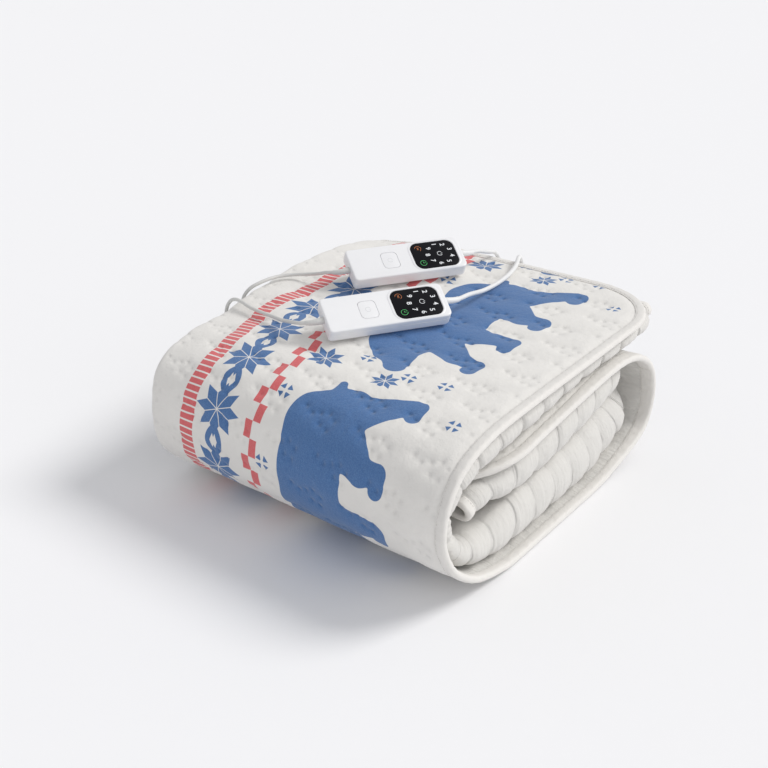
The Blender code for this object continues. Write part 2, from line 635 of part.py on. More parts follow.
def make_tie(row):
    """A strap round the coil's section, on its side away from the cord's ends."""
    inside = COIL_OUTER - COIL_INNER + 2 * TIE_ROOM
    outside = inside + 2 * TIE_WALL
    top = COIL_HIGH + TIE_ROOM + TIE_WALL
    size = Vector((outside, TIE_WIDTH, top - GAP))
    x = row["x"] + row["way"] * (COIL_INNER + COIL_OUTER) / 2
    frame = Matrix.Translation((x, row["y"], (top + GAP) / 2))
    tie = finish(f"mains_tie_{row['name']}", rounded_block(size, 0.0008, steps=(1, 1)), LOOKS["cord"])
    tie.matrix_world = frame
    hole = Vector((inside, 2 * TIE_WIDTH, size.z - 2 * TIE_WALL))
    cut(tie, rounded_block(hole, 0.0004, steps=(1, 1)), f"tie_hole_{row['name']}", frame)


def make_plug(row):
    """The tail of the cord with its relief, the plug's body and its two pins."""
    name, away = row["name"], -row["way"]
    y = row["y"] + COIL_OUTER - MAINS_DIAMETER / 2 + 0.0008
    start = row["cord_end_x"]
    tail = [(start + away * TAIL_LENGTH * share, y, PLUG_Z) for share in (0.0, 0.5, 1.0)]
    make_cord(f"mains_tail_{name}", tail, MAINS_DIAMETER)
    root = start + away * (TAIL_LENGTH + GAP + PLUG_RELIEF)
    points = [Vector((root - away * PLUG_RELIEF * share, y, PLUG_Z)) for share in (0, 0.25, 0.5, 0.75, 1)]
    relief(f"plug_relief_{name}", points, MAINS_DIAMETER)
    middle = root + away * (GAP + PLUG.x / 2)
    body = rounded_block(PLUG, PLUG_CORNER, PLUG_CORNER / 2, steps=(3, 2))
    plug = finish(f"plug_{name}", body, LOOKS["shell"])
    plug.matrix_world = Matrix.Translation((middle, y, PLUG_Z))
    for side, label in ((-1, "a"), (1, "b")):
        foot = middle + away * (PLUG.x / 2 + GAP)
        pin = [(foot + away * PIN_LENGTH * share, y + side * PIN_SPACING / 2, PLUG_Z) for share in (0, 1)]
        tube(f"plug_pin_{name}_{label}", pin, [PIN_DIAMETER / 2] * 2, LOOKS["pin"])


# ---------------------------------------------------------------- build
for thing in list(bpy.data.objects):
    bpy.data.objects.remove(thing)
PARTS = bpy.data.collections.new("heated_mattress_topper")
CUTTERS = bpy.data.collections.new("cutters")
for group in (PARTS, CUTTERS):
    bpy.context.scene.collection.children.link(group)

LOOKS = {
    "shell": material("white_plastic", (0.88, 0.88, 0.89), 0.35),
    "glass": material("black_display", (0.01, 0.01, 0.012), 0.08),
    "cord": material("cord_jacket", (0.82, 0.82, 0.82), 0.5),
    "pin": material("plug_pin", (0.75, 0.74, 0.72), 0.3, metallic=1.0),
}
make_topper()
FRAMES = {}
for handset in rows(HANDSET_COLUMNS, HANDSETS):
    make_handset(handset, LOOKS)
    FRAMES[handset["name"]] = handset_frame(handset)
for row in rows(RELIEF_COLUMNS, RELIEFS):
    line = relief_points(row, FRAMES[row["handset"]])
    relief(f"{row['name']}_relief", line, row["diameter"])
    ahead = (line[-1] - line[-2]).normalized()
    route = [line[-1] + ahead * 2 * GAP, line[-1] + ahead * 2 * row["diameter"]] + list(ROUTES[row["name"]])
    if row["name"] in SOCKET_AT:
        end, up = make_socket(row["name"])
        route += [end - up * 3 * row["diameter"], end]
    make_cord(row["name"], route, row["diameter"])
for coil in rows(COIL_COLUMNS, COILS):
    make_coil(coil)
    make_tie(coil)
    make_plug(coil)

origin = bpy.data.objects.new("bottom_centre", None)
bpy.context.scene.collection.objects.link(origin)
origin.location = (-CENTRE[0], -CENTRE[1], 0.0)
for thing in list(PARTS.objects) + list(CUTTERS.objects):
    thing.parent = origin
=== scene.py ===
# %% [markdown]
# A quilted mattress topper, folded into a bundle, with its two bedside handsets on top.
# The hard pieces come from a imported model, which is loaded first as a fixed frame. What is
# built here is the look: quilted and printed cloth on the folds of that frame, its bound
# edge, cords at their real length, and handsets with their displays.

# %% The frame
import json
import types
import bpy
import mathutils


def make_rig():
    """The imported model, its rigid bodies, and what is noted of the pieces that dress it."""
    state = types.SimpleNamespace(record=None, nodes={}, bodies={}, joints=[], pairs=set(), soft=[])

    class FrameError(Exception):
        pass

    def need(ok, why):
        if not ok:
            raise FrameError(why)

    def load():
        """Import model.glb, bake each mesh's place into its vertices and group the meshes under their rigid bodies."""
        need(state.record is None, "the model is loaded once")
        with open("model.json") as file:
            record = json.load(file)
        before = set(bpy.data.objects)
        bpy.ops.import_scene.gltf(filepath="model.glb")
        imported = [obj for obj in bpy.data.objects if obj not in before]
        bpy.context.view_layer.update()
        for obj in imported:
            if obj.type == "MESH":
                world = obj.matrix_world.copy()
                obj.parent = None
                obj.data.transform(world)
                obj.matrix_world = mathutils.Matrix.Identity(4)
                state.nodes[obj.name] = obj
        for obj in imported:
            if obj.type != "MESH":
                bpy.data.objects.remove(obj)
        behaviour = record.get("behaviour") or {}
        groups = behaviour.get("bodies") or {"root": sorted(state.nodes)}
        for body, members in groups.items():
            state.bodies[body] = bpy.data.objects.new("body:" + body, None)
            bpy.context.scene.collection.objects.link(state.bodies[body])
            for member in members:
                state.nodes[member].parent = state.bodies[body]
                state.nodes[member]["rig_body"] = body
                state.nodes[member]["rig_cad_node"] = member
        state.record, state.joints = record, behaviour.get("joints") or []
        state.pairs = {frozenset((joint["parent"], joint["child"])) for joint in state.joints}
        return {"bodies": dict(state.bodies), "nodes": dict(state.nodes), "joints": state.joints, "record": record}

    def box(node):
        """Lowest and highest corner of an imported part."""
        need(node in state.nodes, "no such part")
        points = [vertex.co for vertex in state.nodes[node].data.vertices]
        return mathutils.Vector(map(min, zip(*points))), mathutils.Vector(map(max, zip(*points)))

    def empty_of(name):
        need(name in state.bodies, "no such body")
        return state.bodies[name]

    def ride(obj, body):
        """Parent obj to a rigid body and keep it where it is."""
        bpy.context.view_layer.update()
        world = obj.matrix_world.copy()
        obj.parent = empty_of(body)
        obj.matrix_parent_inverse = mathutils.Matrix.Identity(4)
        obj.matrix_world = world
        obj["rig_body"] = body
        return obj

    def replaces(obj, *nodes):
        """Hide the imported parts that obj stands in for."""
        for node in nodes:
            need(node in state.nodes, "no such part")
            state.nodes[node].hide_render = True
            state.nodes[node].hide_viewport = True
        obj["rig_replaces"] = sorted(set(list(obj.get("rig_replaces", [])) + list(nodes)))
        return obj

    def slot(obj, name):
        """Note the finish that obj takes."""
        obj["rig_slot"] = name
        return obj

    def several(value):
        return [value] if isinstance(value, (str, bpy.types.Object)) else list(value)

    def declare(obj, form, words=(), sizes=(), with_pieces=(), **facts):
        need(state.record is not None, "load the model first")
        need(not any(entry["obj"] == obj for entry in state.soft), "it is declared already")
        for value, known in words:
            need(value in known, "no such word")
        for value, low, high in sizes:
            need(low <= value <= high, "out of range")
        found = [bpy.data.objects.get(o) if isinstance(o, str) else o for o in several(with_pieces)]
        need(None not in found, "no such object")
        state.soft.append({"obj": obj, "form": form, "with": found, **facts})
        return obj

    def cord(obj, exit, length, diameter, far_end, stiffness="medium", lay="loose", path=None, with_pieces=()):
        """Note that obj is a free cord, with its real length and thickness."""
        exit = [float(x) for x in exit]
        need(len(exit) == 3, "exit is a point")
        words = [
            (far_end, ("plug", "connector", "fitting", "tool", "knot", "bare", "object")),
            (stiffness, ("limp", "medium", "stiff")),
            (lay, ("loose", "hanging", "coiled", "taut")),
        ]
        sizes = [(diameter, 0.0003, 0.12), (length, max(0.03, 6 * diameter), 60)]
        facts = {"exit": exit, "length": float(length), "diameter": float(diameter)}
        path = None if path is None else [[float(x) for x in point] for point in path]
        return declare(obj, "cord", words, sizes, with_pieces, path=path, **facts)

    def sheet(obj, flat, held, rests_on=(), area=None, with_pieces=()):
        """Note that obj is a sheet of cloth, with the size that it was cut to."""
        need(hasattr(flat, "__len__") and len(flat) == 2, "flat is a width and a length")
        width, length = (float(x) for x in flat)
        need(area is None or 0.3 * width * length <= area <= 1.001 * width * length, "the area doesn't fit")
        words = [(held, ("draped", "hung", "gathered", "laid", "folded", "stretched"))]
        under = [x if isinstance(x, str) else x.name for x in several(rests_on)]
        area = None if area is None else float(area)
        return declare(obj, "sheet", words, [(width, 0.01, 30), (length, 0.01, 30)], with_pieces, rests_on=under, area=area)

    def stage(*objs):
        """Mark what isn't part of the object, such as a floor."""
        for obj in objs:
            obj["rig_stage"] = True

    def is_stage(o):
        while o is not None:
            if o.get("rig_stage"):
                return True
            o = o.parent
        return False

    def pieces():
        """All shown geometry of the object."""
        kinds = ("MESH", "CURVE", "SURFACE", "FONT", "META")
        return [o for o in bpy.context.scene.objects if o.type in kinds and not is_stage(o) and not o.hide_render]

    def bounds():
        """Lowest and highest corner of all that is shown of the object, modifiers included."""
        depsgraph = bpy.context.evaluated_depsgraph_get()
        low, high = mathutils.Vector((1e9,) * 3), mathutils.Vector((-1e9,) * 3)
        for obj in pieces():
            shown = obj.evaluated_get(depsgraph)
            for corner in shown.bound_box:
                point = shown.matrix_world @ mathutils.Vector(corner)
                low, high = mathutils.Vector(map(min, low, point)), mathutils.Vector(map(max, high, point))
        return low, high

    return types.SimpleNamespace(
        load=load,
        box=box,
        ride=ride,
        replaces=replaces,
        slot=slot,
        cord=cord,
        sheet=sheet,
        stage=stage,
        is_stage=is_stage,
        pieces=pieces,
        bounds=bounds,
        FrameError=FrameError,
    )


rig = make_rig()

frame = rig.load()

import functools
import json
import math

import bmesh
import bpy
import numpy as np
from mathutils import Matrix, Vector

CAD_BOX = [list(map(float, corner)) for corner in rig.bounds()]
print(f"{len(frame['nodes'])} nodes; box {CAD_BOX}")


# %% [markdown]
# Everything goes into the scene by one small helper. A second one says what a finished
# piece is to the frame: the body it rides on, its slot and the solids that it stands for.

# %% Adding and assigning
def added(name, data):
    """An object of this data, in the scene."""
    made = bpy.data.objects.new(name, data)
    bpy.context.scene.collection.objects.link(made)
    return made


def assigned(made, body, slot, *nodes):
    """The piece, tied to its body, its material slot and the nodes that it replaces."""
    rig.ride(made, body)
    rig.slot(made, slot)
    if nodes:
        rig.replaces(made, *nodes)
    return made


def read_table(columns, *table):
    """The table's rows as dictionaries, by the names of the columns."""
    return [dict(zip(columns.split(), row)) for row in table]


# %% [markdown]
# The camera looks down at the corner between the near bound edge and the main fold, from
# well away, so that the lines of the folds hardly converge.

# %% The camera
lens = bpy.data.cameras.new("view")
lens.lens, lens.sensor_width = 65.625, 36.0
camera = added("view", lens)
camera.location = (0.9133, -1.33725, 0.9086)
camera.rotation_euler = (math.radians(90 - 26), 0.0, math.radians(35))
bpy.context.scene.camera = camera
bpy.context.scene.view_settings.view_transform = "Standard"
print("the camera stands at", tuple(camera.location))


# %% [markdown]
# Finishes are node graphs. Their sums are easier to check as Python, so one small class
# wraps a socket that carries a number and turns + - * into Math nodes. Every other node is
# added by one method, which sets its settings first and its sockets afterwards.

# %% Node graphs as expressions
class Field:
    """A number that varies over a surface or a path."""

    def __init__(self, graph, socket):
        self.graph, self.socket = graph, socket

    def __abs__(self):
        return self.graph.maths("ABSOLUTE", self)


def operator(operation, turned):
    """A method of Field that adds this Math node, with its operands turned round or not."""
    def method(self, other):
        return self.graph.maths(operation, *((other, self) if turned else (self, other)))
    return method


for sign, operation in (("add", "ADD"), ("sub", "SUBTRACT"), ("mul", "MULTIPLY")):
    setattr(Field, f"__{sign}__", operator(operation, False))
    setattr(Field, f"__r{sign}__", operator(operation, True))


class Graph:
    """The nodes of one material or one Geometry Nodes tree."""

    def __init__(self, tree):
        self.tree = tree

    def feed(self, socket, value):
        value = value.socket if isinstance(value, Field) else value
        if isinstance(value, bpy.types.NodeSocket):
            self.tree.links.new(value, socket)
        else:
            socket.default_value = value

    def node(self, kind, settings=(), values=()):
        """A node with its settings, then the values or links of its sockets."""
        made = self.tree.nodes.new(kind)
        for name, value in dict(settings).items():
            setattr(made, name, value)
        for key, value in dict(values).items():
            self.feed(made.inputs[key], value)
        return made

    def maths(self, operation, *values, clamp=False):
        settings = {"operation": operation, "use_clamp": clamp}
        return Field(self, self.node("ShaderNodeMath", settings, enumerate(values)).outputs[0])

    def scaled(self, value, by, plus, clamp=False):
        """value * by + plus, in one node, held between 0 and 1 if clamped."""
        return self.maths("MULTIPLY_ADD", value, by, plus, clamp=clamp)

    def least(self, *values):
        return functools.reduce(functools.partial(self.maths, "MINIMUM"), values)

    def most(self, *values):
        return functools.reduce(functools.partial(self.maths, "MAXIMUM"), values)

    def length(self, x, y):
        return self.maths("SQRT", self.scaled(x, x, y * y))

    def bell(self, value):
        """1 where the value is 0, falling smoothly to 0 on both sides."""
        return self.maths("EXPONENT", value * value * -1.0)

    def blend(self, share, first, second):
        """The colour that lies this share of the way from the first to the second."""
        values = {0: share, 6: first, 7: second}
        return self.node("ShaderNodeMix", {"data_type": "RGBA"}, values).outputs[2]

    def noise(self, place, scale, detail=3.0, roughness=0.55):
        values = {"Vector": place, "Scale": scale, "Detail": detail, "Roughness": roughness}
        return Field(self, self.node("ShaderNodeTexNoise", (), values).outputs["Fac"])


class Finish(Graph):
    """A material: its Principled shader's plain values, and a graph for what varies."""

    def __init__(self, name, **plain):
        self.made = bpy.data.materials.new(name)
        self.made.use_nodes = True
        super().__init__(self.made.node_tree)
        self.shader = self.tree.nodes["Principled BSDF"]
        self.vary(**plain)

    def vary(self, **values):
        for key, value in values.items():
            self.feed(self.shader.inputs[key.replace("_", " ")], value)

    def place(self):
        """The point in the object's own frame, which is the frame of the whole part."""
        return self.node("ShaderNodeTexCoord").outputs["Object"]

    def relief(self, height, distance):
        """A bump on the shader's normal; a height of 1 stands for this distance in metres."""
        values = {"Height": height, "Distance": distance}
        self.vary(Normal=self.node("ShaderNodeBump", (), values).outputs[0])


def lighter(colour, by):
    return (*(min(1.0, part * by) for part in colour), 1.0)


# %% [markdown]
# The plastics are quiet: a satin white shell, a softer jacket on the cords, glossy black
# over the displays and plated pins. What makes them look moulded rather than flat is a
# faint change of gloss over a few millimetres and a very fine grain.

# %% Plastics and metal
def moulded(name, colour, roughness, grain, **plain):
    """A moulded finish whose gloss drifts a little, with a fine grain."""
    finish = Finish(name, **plain)
    place = finish.place()
    drift = finish.noise(place, 60.0)
    finish.vary(
        Base_Color=finish.blend(drift, (*colour, 1.0), lighter(colour, 1.04)),
        Roughness=roughness + (drift - 0.5) * 0.12,
    )
    finish.relief(finish.noise(place, 2600.0, 2.0), grain)
    return finish.made


SHELL = moulded("satin_white_shell", (0.80, 0.80, 0.81), 0.34, 2e-5)
JACKET = moulded("soft_white_jacket", (0.76, 0.76, 0.755), 0.46, 3e-5)
LEAD_JACKET = moulded("pale_grey_jacket", (0.62, 0.62, 0.60), 0.46, 3e-5)
GLASS = moulded("black_display_glass", (0.004, 0.004, 0.006), 0.20, 1e-6, Specular_IOR_Level=0.16)
PLATED = moulded("plated_pin", (0.72, 0.70, 0.66), 0.26, 1e-5, Metallic=1.0)
MARK = moulded("white_marking", (0.78, 0.80, 0.82), 0.5, 1e-5)
FAINT = moulded("faint_marking", (0.60, 0.61, 0.62), 0.45, 1e-5)
AMBER = moulded("amber_marking", (0.50, 0.16, 0.05), 0.5, 1e-5)
GREEN = moulded("green_marking", (0.07, 0.46, 0.13), 0.5, 1e-5)
print(f"{len(bpy.data.materials)} finishes for plastic and metal")


# %% [markdown]
# Small helpers that every piece uses: one puts a mesh in the scene with its finish, one
# turns an object with modifiers into a plain mesh, and one sweeps a ring of points.

# %% Making pieces
def piece(name, mesh, finish, smooth_angle=35.0):
    """An object of the mesh, at the origin, smooth up to the angle."""
    if finish:
        mesh.materials.clear()
        mesh.materials.append(finish)
    mesh.shade_smooth()
    mesh.set_sharp_from_angle(angle=math.radians(smooth_angle))
    return added(name, mesh)


def settled(source):
    """The evaluated mesh of an object, which is removed."""
    bpy.context.view_layer.update()
    graph = bpy.context.evaluated_depsgraph_get()
    mesh = bpy.data.meshes.new_from_object(source.evaluated_get(graph))
    mesh.transform(source.matrix_world)
    bpy.data.objects.remove(source)
    return mesh


def edited(mesh, edit):
    """The mesh after an edit of its BMesh."""
    shape = bmesh.new()
    shape.from_mesh(mesh)
    edit(shape)
    shape.to_mesh(mesh)
    shape.free()
    return mesh


def turn_out(shape):
    """Turns a closed shape's faces round if they point inwards."""
    if shape.calc_volume(signed=True) < 0:
        bmesh.ops.reverse_faces(shape, faces=shape.faces[:])


def grid_faces(count, around, closed=False):
    """The four-sided faces between rings of this many points each."""
    here = np.arange(count if closed else count - 1)[:, None] * around
    there = (here + around) % (count * around)
    k, after = np.arange(around)[None, :], (np.arange(around)[None, :] + 1) % around
    faces = np.stack([here + k, here + after, there + after, there + k], -1)
    return faces.reshape(-1, 4).tolist()


def mesh_of(name, points, faces=(), edges=()):
    mesh = bpy.data.meshes.new(name)
    mesh.from_pydata(np.asarray(points, float).reshape(-1, 3).tolist(), list(edges), list(faces))
    return mesh


def swept(rings, closed=False):
    """A closed mesh through rings of equal point counts, with end caps unless it closes."""
    count, around = np.shape(rings)[:2]
    faces = grid_faces(count, around, closed)
    if not closed:
        faces += [list(range(around))[::-1], list(range((count - 1) * around, count * around))]
    return edited(mesh_of("swept", rings, faces), turn_out)


# %% [markdown]
# The topper is one long quilted strip. It was folded in three lengthwise, and the narrow
# strip was then folded over twice more, so that three passes lie on each other. On the
# real thing both folds happen by hand; here the strip's outer face follows a route in the
# plane of the bound edge, with a row for each place where the route changes. A table is
# easier to read and to correct than a simulated fold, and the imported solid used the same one.

# %% The route of the folded strip
ROUTE = (  # name, outer y and z, inner y and z, lean, bulge
    ("head end", 0.2880, 0.2030, 0.2867, 0.1690, 0.00, 0.050),
    ("head", 0.2540, 0.2045, 0.2530, 0.1690, 0.00, 0.016),
    ("top right", 0.1900, 0.2050, 0.1895, 0.1690, 0.00, 0.008),
    ("top middle", 0.0600, 0.2050, 0.0600, 0.1665, 0.01, 0.009),
    ("top left", -0.0700, 0.2050, -0.0650, 0.1560, 0.05, 0.007),
    ("shoulder", -0.1650, 0.2020, -0.1500, 0.1460, 0.09, 0.009),
    ("fold upper", -0.2260, 0.1860, -0.1900, 0.1330, 0.105, 0.012),
    ("fold high", -0.2590, 0.1540, -0.2100, 0.1180, 0.115, 0.014),
    ("fold", -0.2690, 0.1180, -0.2160, 0.1010, 0.120, 0.014),
    ("fold low", -0.2610, 0.0850, -0.2120, 0.0880, 0.103, 0.013),
    ("fold lower", -0.2370, 0.0500, -0.2030, 0.0765, 0.083, 0.011),
    ("heel", -0.1930, 0.0200, -0.1830, 0.0690, 0.072, 0.010),
    ("bottom left", -0.1400, 0.0045, -0.1340, 0.0680, 0.066, 0.009),
    ("flat start", -0.0900, 0.0000, -0.0850, 0.0745, 0.055, 0.008),
    ("flat end", 0.0900, 0.0000, 0.0700, 0.0875, 0.030, 0.008),
    ("bottom right", 0.1600, 0.0080, 0.1230, 0.0950, 0.010, 0.012),
    ("toe", 0.2180, 0.0210, 0.1560, 0.1000, 0.00, 0.015),
    ("back fold low", 0.2460, 0.0390, 0.1760, 0.1030, -0.02, 0.024),
    ("back fold", 0.2590, 0.0750, 0.1850, 0.1090, -0.02, 0.046),
    ("back fold high", 0.2500, 0.1150, 0.1810, 0.1155, -0.02, 0.060),
    ("back fold top", 0.2210, 0.1440, 0.1680, 0.1180, 0.00, 0.034),
    ("middle right", 0.1800, 0.1610, 0.1460, 0.1125, 0.01, 0.010),
    ("middle", 0.1200, 0.1655, 0.1050, 0.1035, 0.03, 0.006),
    ("middle left", 0.0000, 0.1575, 0.0000, 0.0860, 0.06, 0.006),
    ("inner left", -0.1000, 0.1475, -0.0950, 0.0815, 0.095, 0.008),
    ("inner foot", -0.1500, 0.1385, -0.1390, 0.0880, 0.115, 0.014),
    ("foot", -0.1750, 0.1315, -0.1610, 0.0862, 0.120, 0.018),
    ("foot end", -0.1930, 0.1255, -0.1785, 0.0823, 0.122, 0.024),
)

# Soft rises and dips: centre, direction of the long way, half lengths, height at the top face.
RISES = read_table(
    "name x y turn_deg half_long half_wide height",
    ("far hump", -0.262, 0.130, 90.0, 0.085, 0.060, 0.008),
    ("far left dip", -0.262, -0.120, 80.0, 0.090, 0.090, -0.014),
    ("far head dip", -0.262, 0.300, 30.0, 0.100, 0.050, -0.018),
    ("under front handset", -0.0422, -0.0110, 55.3, 0.085, 0.034, 0.012),
    ("under back handset", -0.1148, 0.1411, 55.3, 0.085, 0.034, 0.012),
)

# %% Sizes of the strip and of its quilted pad, in metres
CENTRE = (-0.0298, 0.01145)     # bottom centre of the folded topper in the route's own frame
NEAR_X = 0.2190                 # outer face of the near long edge
STRIP_WIDTH = 0.4815            # the strip after its lengthwise fold in three
CORNER_RADIUS = 0.110
PAD_THICK = 0.0110
LAYER_GAP = 0.0015
EDGE_THICK = 0.0038             # the pad where the binding presses it
EDGE_FLAT = 0.0180
EDGE_SWELL = 0.0160
BULGE_DEPTH = 0.0190
TAPE_WALL = 0.0012
TAPE_ROOM = 0.0010
TOP_Z = 0.205
ROUTE_DETAIL = 2400             # places at which the route is worked out


# %% [markdown]
# A Catmull-Rom curve runs through every row of the table, so the fold bends smoothly and
# still passes through the chosen places. It is read once, finely, and from then on
# everything asks for a place by its distance v along the outer face.

# %% Reading the route
def read_rows(values, count):
    """A Catmull-Rom curve through the rows, read at evenly spaced fractions of a row."""
    at = np.linspace(0, len(values) - 1, count)
    padded = np.vstack([2 * values[0] - values[1], values, 2 * values[-1] - values[-2]])
    row = np.clip(np.floor(at).astype(int), 0, len(values) - 2)
    t = (at - row)[:, None]
    a, b, c, d = (padded[row + k] for k in range(4))
    square = 2 * a - 5 * b + 4 * c - d
    cube = 3 * b - a - 3 * c + d
    return 0.5 * (2 * b + (c - a) * t + square * t**2 + cube * t**3)


def run_of(points):
    """Distance along the points from the first one."""
    steps = np.linalg.norm(np.diff(np.asarray(points), axis=0), axis=1)
    return np.concatenate([[0.0], np.cumsum(steps)])


FINE_ROUTE = read_rows(np.array([row[1:] for row in ROUTE], float), ROUTE_DETAIL)
FINE_ROUTE[:, 1] = np.maximum(FINE_ROUTE[:, 1], 0.0)
FINE_LENGTH = run_of(FINE_ROUTE[:, :2])
SHEET_LENGTH = float(FINE_LENGTH[-1])
print(f"the strip is {SHEET_LENGTH:.3f} m long along its outer face")


def route_at(v):
    """The route's columns at each distance v along the outer face."""
    return [np.interp(v, FINE_LENGTH, column) for column in FINE_ROUTE.T]


def risen(x, y, z):
    """The height z after the soft rises and dips, which stretch the whole stack."""
    lift = 0.0
    for row in RISES:
        turn = math.radians(row["turn_deg"])
        dx, dy = x - row["x"], y - row["y"]
        along = (dx * math.cos(turn) + dy * math.sin(turn)) / row["half_long"]
        across = (dy * math.cos(turn) - dx * math.sin(turn)) / row["half_wide"]
        lift = lift + row["height"] * np.exp(-(along**4) - across**2)
    return z * (1 + lift / TOP_Z)


def placed(v, x, depth):
    """Points of the folded strip at v, across it at x, and this deep from the outer face."""
    outer_y, outer_z, inner_y, inner_z, lean, _ = route_at(v)
    length = np.hypot(inner_y - outer_y, inner_z - outer_z)
    y = outer_y + (inner_y - outer_y) / length * depth + lean * (NEAR_X - x)
    z = outer_z + (inner_z - outer_z) / length * depth
    return np.stack(np.broadcast_arrays(x - CENTRE[0], y - CENTRE[1], risen(x, y, z)), axis=-1)


# %% [markdown]
# Across the strip there are three layers: from the near bound edge out to the far fold,
# back to the puffy near fold, and out again to the far bound edge. Their middle line is
# worked out in the plane of one cross-section, layer by layer, so that each face can be
# cut as finely as it shows: the printed face closely, the hidden ones coarsely. The far
# fold and the far bound edge wander by a few millimetres, as hand-folded edges do.

# %% The cross-section's middle line
LAYERS = ("first", "far fold", "second", "near fold", "third")
FAR_IN, FAR_SWING, FAR_RIPPLE = 0.004, 0.003, 0.002
LAST_IN, LAST_SWING = 0.009, 0.004
FOLD_ROOM = 0.0012              # least room inside the near fold
FOLD_DEEPER = 1.15              # how much deeper than high that fold is


def held(v):
    """The same place across the strip for the whole pressed edge of either end."""
    return np.clip(v, EDGE_FLAT, SHEET_LENGTH - EDGE_FLAT)


def corner_inset(v):
    """How far a rounded corner takes the long edges in, at v along the strip."""
    end = np.minimum(np.minimum(v, SHEET_LENGTH - v), CORNER_RADIUS)
    return CORNER_RADIUS - np.sqrt(np.maximum(CORNER_RADIUS**2 - (CORNER_RADIUS - end) ** 2, 0.0))


def layer_edges(v):
    """The near bound edge, the far fold and the far bound edge across the strip at v."""
    v = held(v)
    first_end = NEAR_X - TAPE_WALL - TAPE_ROOM + 0.0 * v
    swing = FAR_SWING * np.sin(9.0 * v + 0.6)
    far = NEAR_X - STRIP_WIDTH + FAR_IN + swing + FAR_RIPPLE * np.sin(23.0 * v)
    return first_end, far, far + LAST_IN + LAST_SWING * np.sin(7.0 * v)


def pass_depth(v):
    """Depth of the three layers together at v."""
    outer_y, outer_z, inner_y, inner_z, _, _ = route_at(held(v))
    least = 3 * PAD_THICK + 2 * LAYER_GAP
    return np.maximum(np.hypot(inner_y - outer_y, inner_z - outer_z), least)


def middle_line(v, inset, cuts):
    """x, depth and heading of the middle line at v, cut at each layer's own shares."""
    bulge, total = route_at(held(v))[5], pass_depth(v)
    first_end, far, last_end = layer_edges(v)
    half = PAD_THICK / 2
    turn = half + LAYER_GAP / 2
    far_centre = far + half + turn
    second = half + 2 * turn
    bow = (total - half - second) / 2
    deep = np.minimum(BULGE_DEPTH, np.maximum(FOLD_DEEPER * bow, half + FOLD_ROOM))
    near_centre = NEAR_X - bulge - half - deep
    arc, bend = np.pi * cuts["far fold"], np.pi * cuts["near fold"]

    def straight(layer, start, end, depth, heading):
        level = 0.0 * cuts[layer]
        return start + (end - start) * cuts[layer], depth + level, heading + level, level

    parts = [
        straight("first", first_end - inset, far_centre, half, -1),
        (far_centre - turn * np.sin(arc), half + turn - turn * np.cos(arc),
         -np.cos(arc), np.sin(arc)),
        straight("second", far_centre, near_centre, second, 1),
        (near_centre + deep * np.sin(bend), second + bow - bow * np.cos(bend),
         deep * np.cos(bend), bow * np.sin(bend)),
        straight("third", near_centre, last_end + inset, total - half, -1),
    ]
    x, depth, ahead_x, ahead_d = (np.concatenate(column, axis=-1) for column in zip(*parts))
    size = np.hypot(ahead_x, ahead_d)
    return x, depth, ahead_x / size, ahead_d / size


# %% [markdown]
# Each handset has two cords: a thin lead that plugs into the topper at its far edge, and a
# mains cord. The leads cross the top and hang down the far side to their sockets. The mains
# cords go over the head end; what is left of them is wound into neat coils behind the
# bundle, each ending in its plug. The routes are the ones their solids follow, with a
# Catmull-Rom curve through a few given points.

# %% The handsets' places and the reliefs that the cords leave
HANDSET = Vector((0.160, 0.054, 0.019))
HANDSETS = read_table(
    "name x y z turn_deg tilt_deg",
    ("front", -0.0291, -0.0204, 0.2310, 55.3, 28.0),
    ("back", -0.1011, 0.1308, 0.2321, 55.3, 28.0),
)
GAP = 0.0003
LEAD_DIAMETER = 0.0048
MAINS_DIAMETER = 0.0060
RELIEF_ROOT = 0.0044
RELIEF_SPARE = 0.0007
RELIEF_POINTS = 7
RELIEFS = read_table(
    "name handset side across length bend_deg drop diameter",
    ("lead_front", "front", -1, 0.000, 0.022, -42.0, 0.0030, LEAD_DIAMETER),
    ("lead_back", "back", -1, 0.000, 0.022, -42.0, 0.0030, LEAD_DIAMETER),
    ("mains_front", "front", 1, 0.003, 0.024, 34.0, 0.0030, MAINS_DIAMETER),
    ("mains_back", "back", 1, 0.003, 0.024, 40.0, 0.0030, MAINS_DIAMETER),
)


def handset_frame(row):
    """A handset's own frame: x along it, y away from the near edge, z out of its face."""
    place = Matrix.Translation((row["x"] - CENTRE[0], row["y"] - CENTRE[1], row["z"]))
    turn = Matrix.Rotation(math.radians(row["turn_deg"]), 4, "Z")
    tilt = Matrix.Rotation(math.radians(row["tilt_deg"]), 4, "X")
    return place @ turn @ tilt


FRAMES = {row["name"]: handset_frame(row) for row in HANDSETS}


def relief_points(row):
    """The relief's middle line from its root on the handset to its tip."""
    frame_of, side = FRAMES[row["handset"]], row["side"]
    place = frame_of @ Vector((side * (HANDSET.x / 2 + GAP), row["across"], 0.0))
    ahead = frame_of.to_3x3() @ Vector((side, 0, 0))
    step = row["length"] / (RELIEF_POINTS - 1)
    turn = Matrix.Rotation(math.radians(row["bend_deg"]) / (RELIEF_POINTS - 2), 3, "Z")
    fall = Vector((0, 0, row["drop"] / (RELIEF_POINTS - 2)))
    points = [place, place + ahead * step]
    for _ in range(RELIEF_POINTS - 2):
        ahead = turn @ ahead
        points.append(points[-1] + ahead * step - fall)
    return points


RELIEF_LINES = {row["name"]: relief_points(row) for row in RELIEFS}
print("reliefs:", ", ".join(RELIEF_LINES))

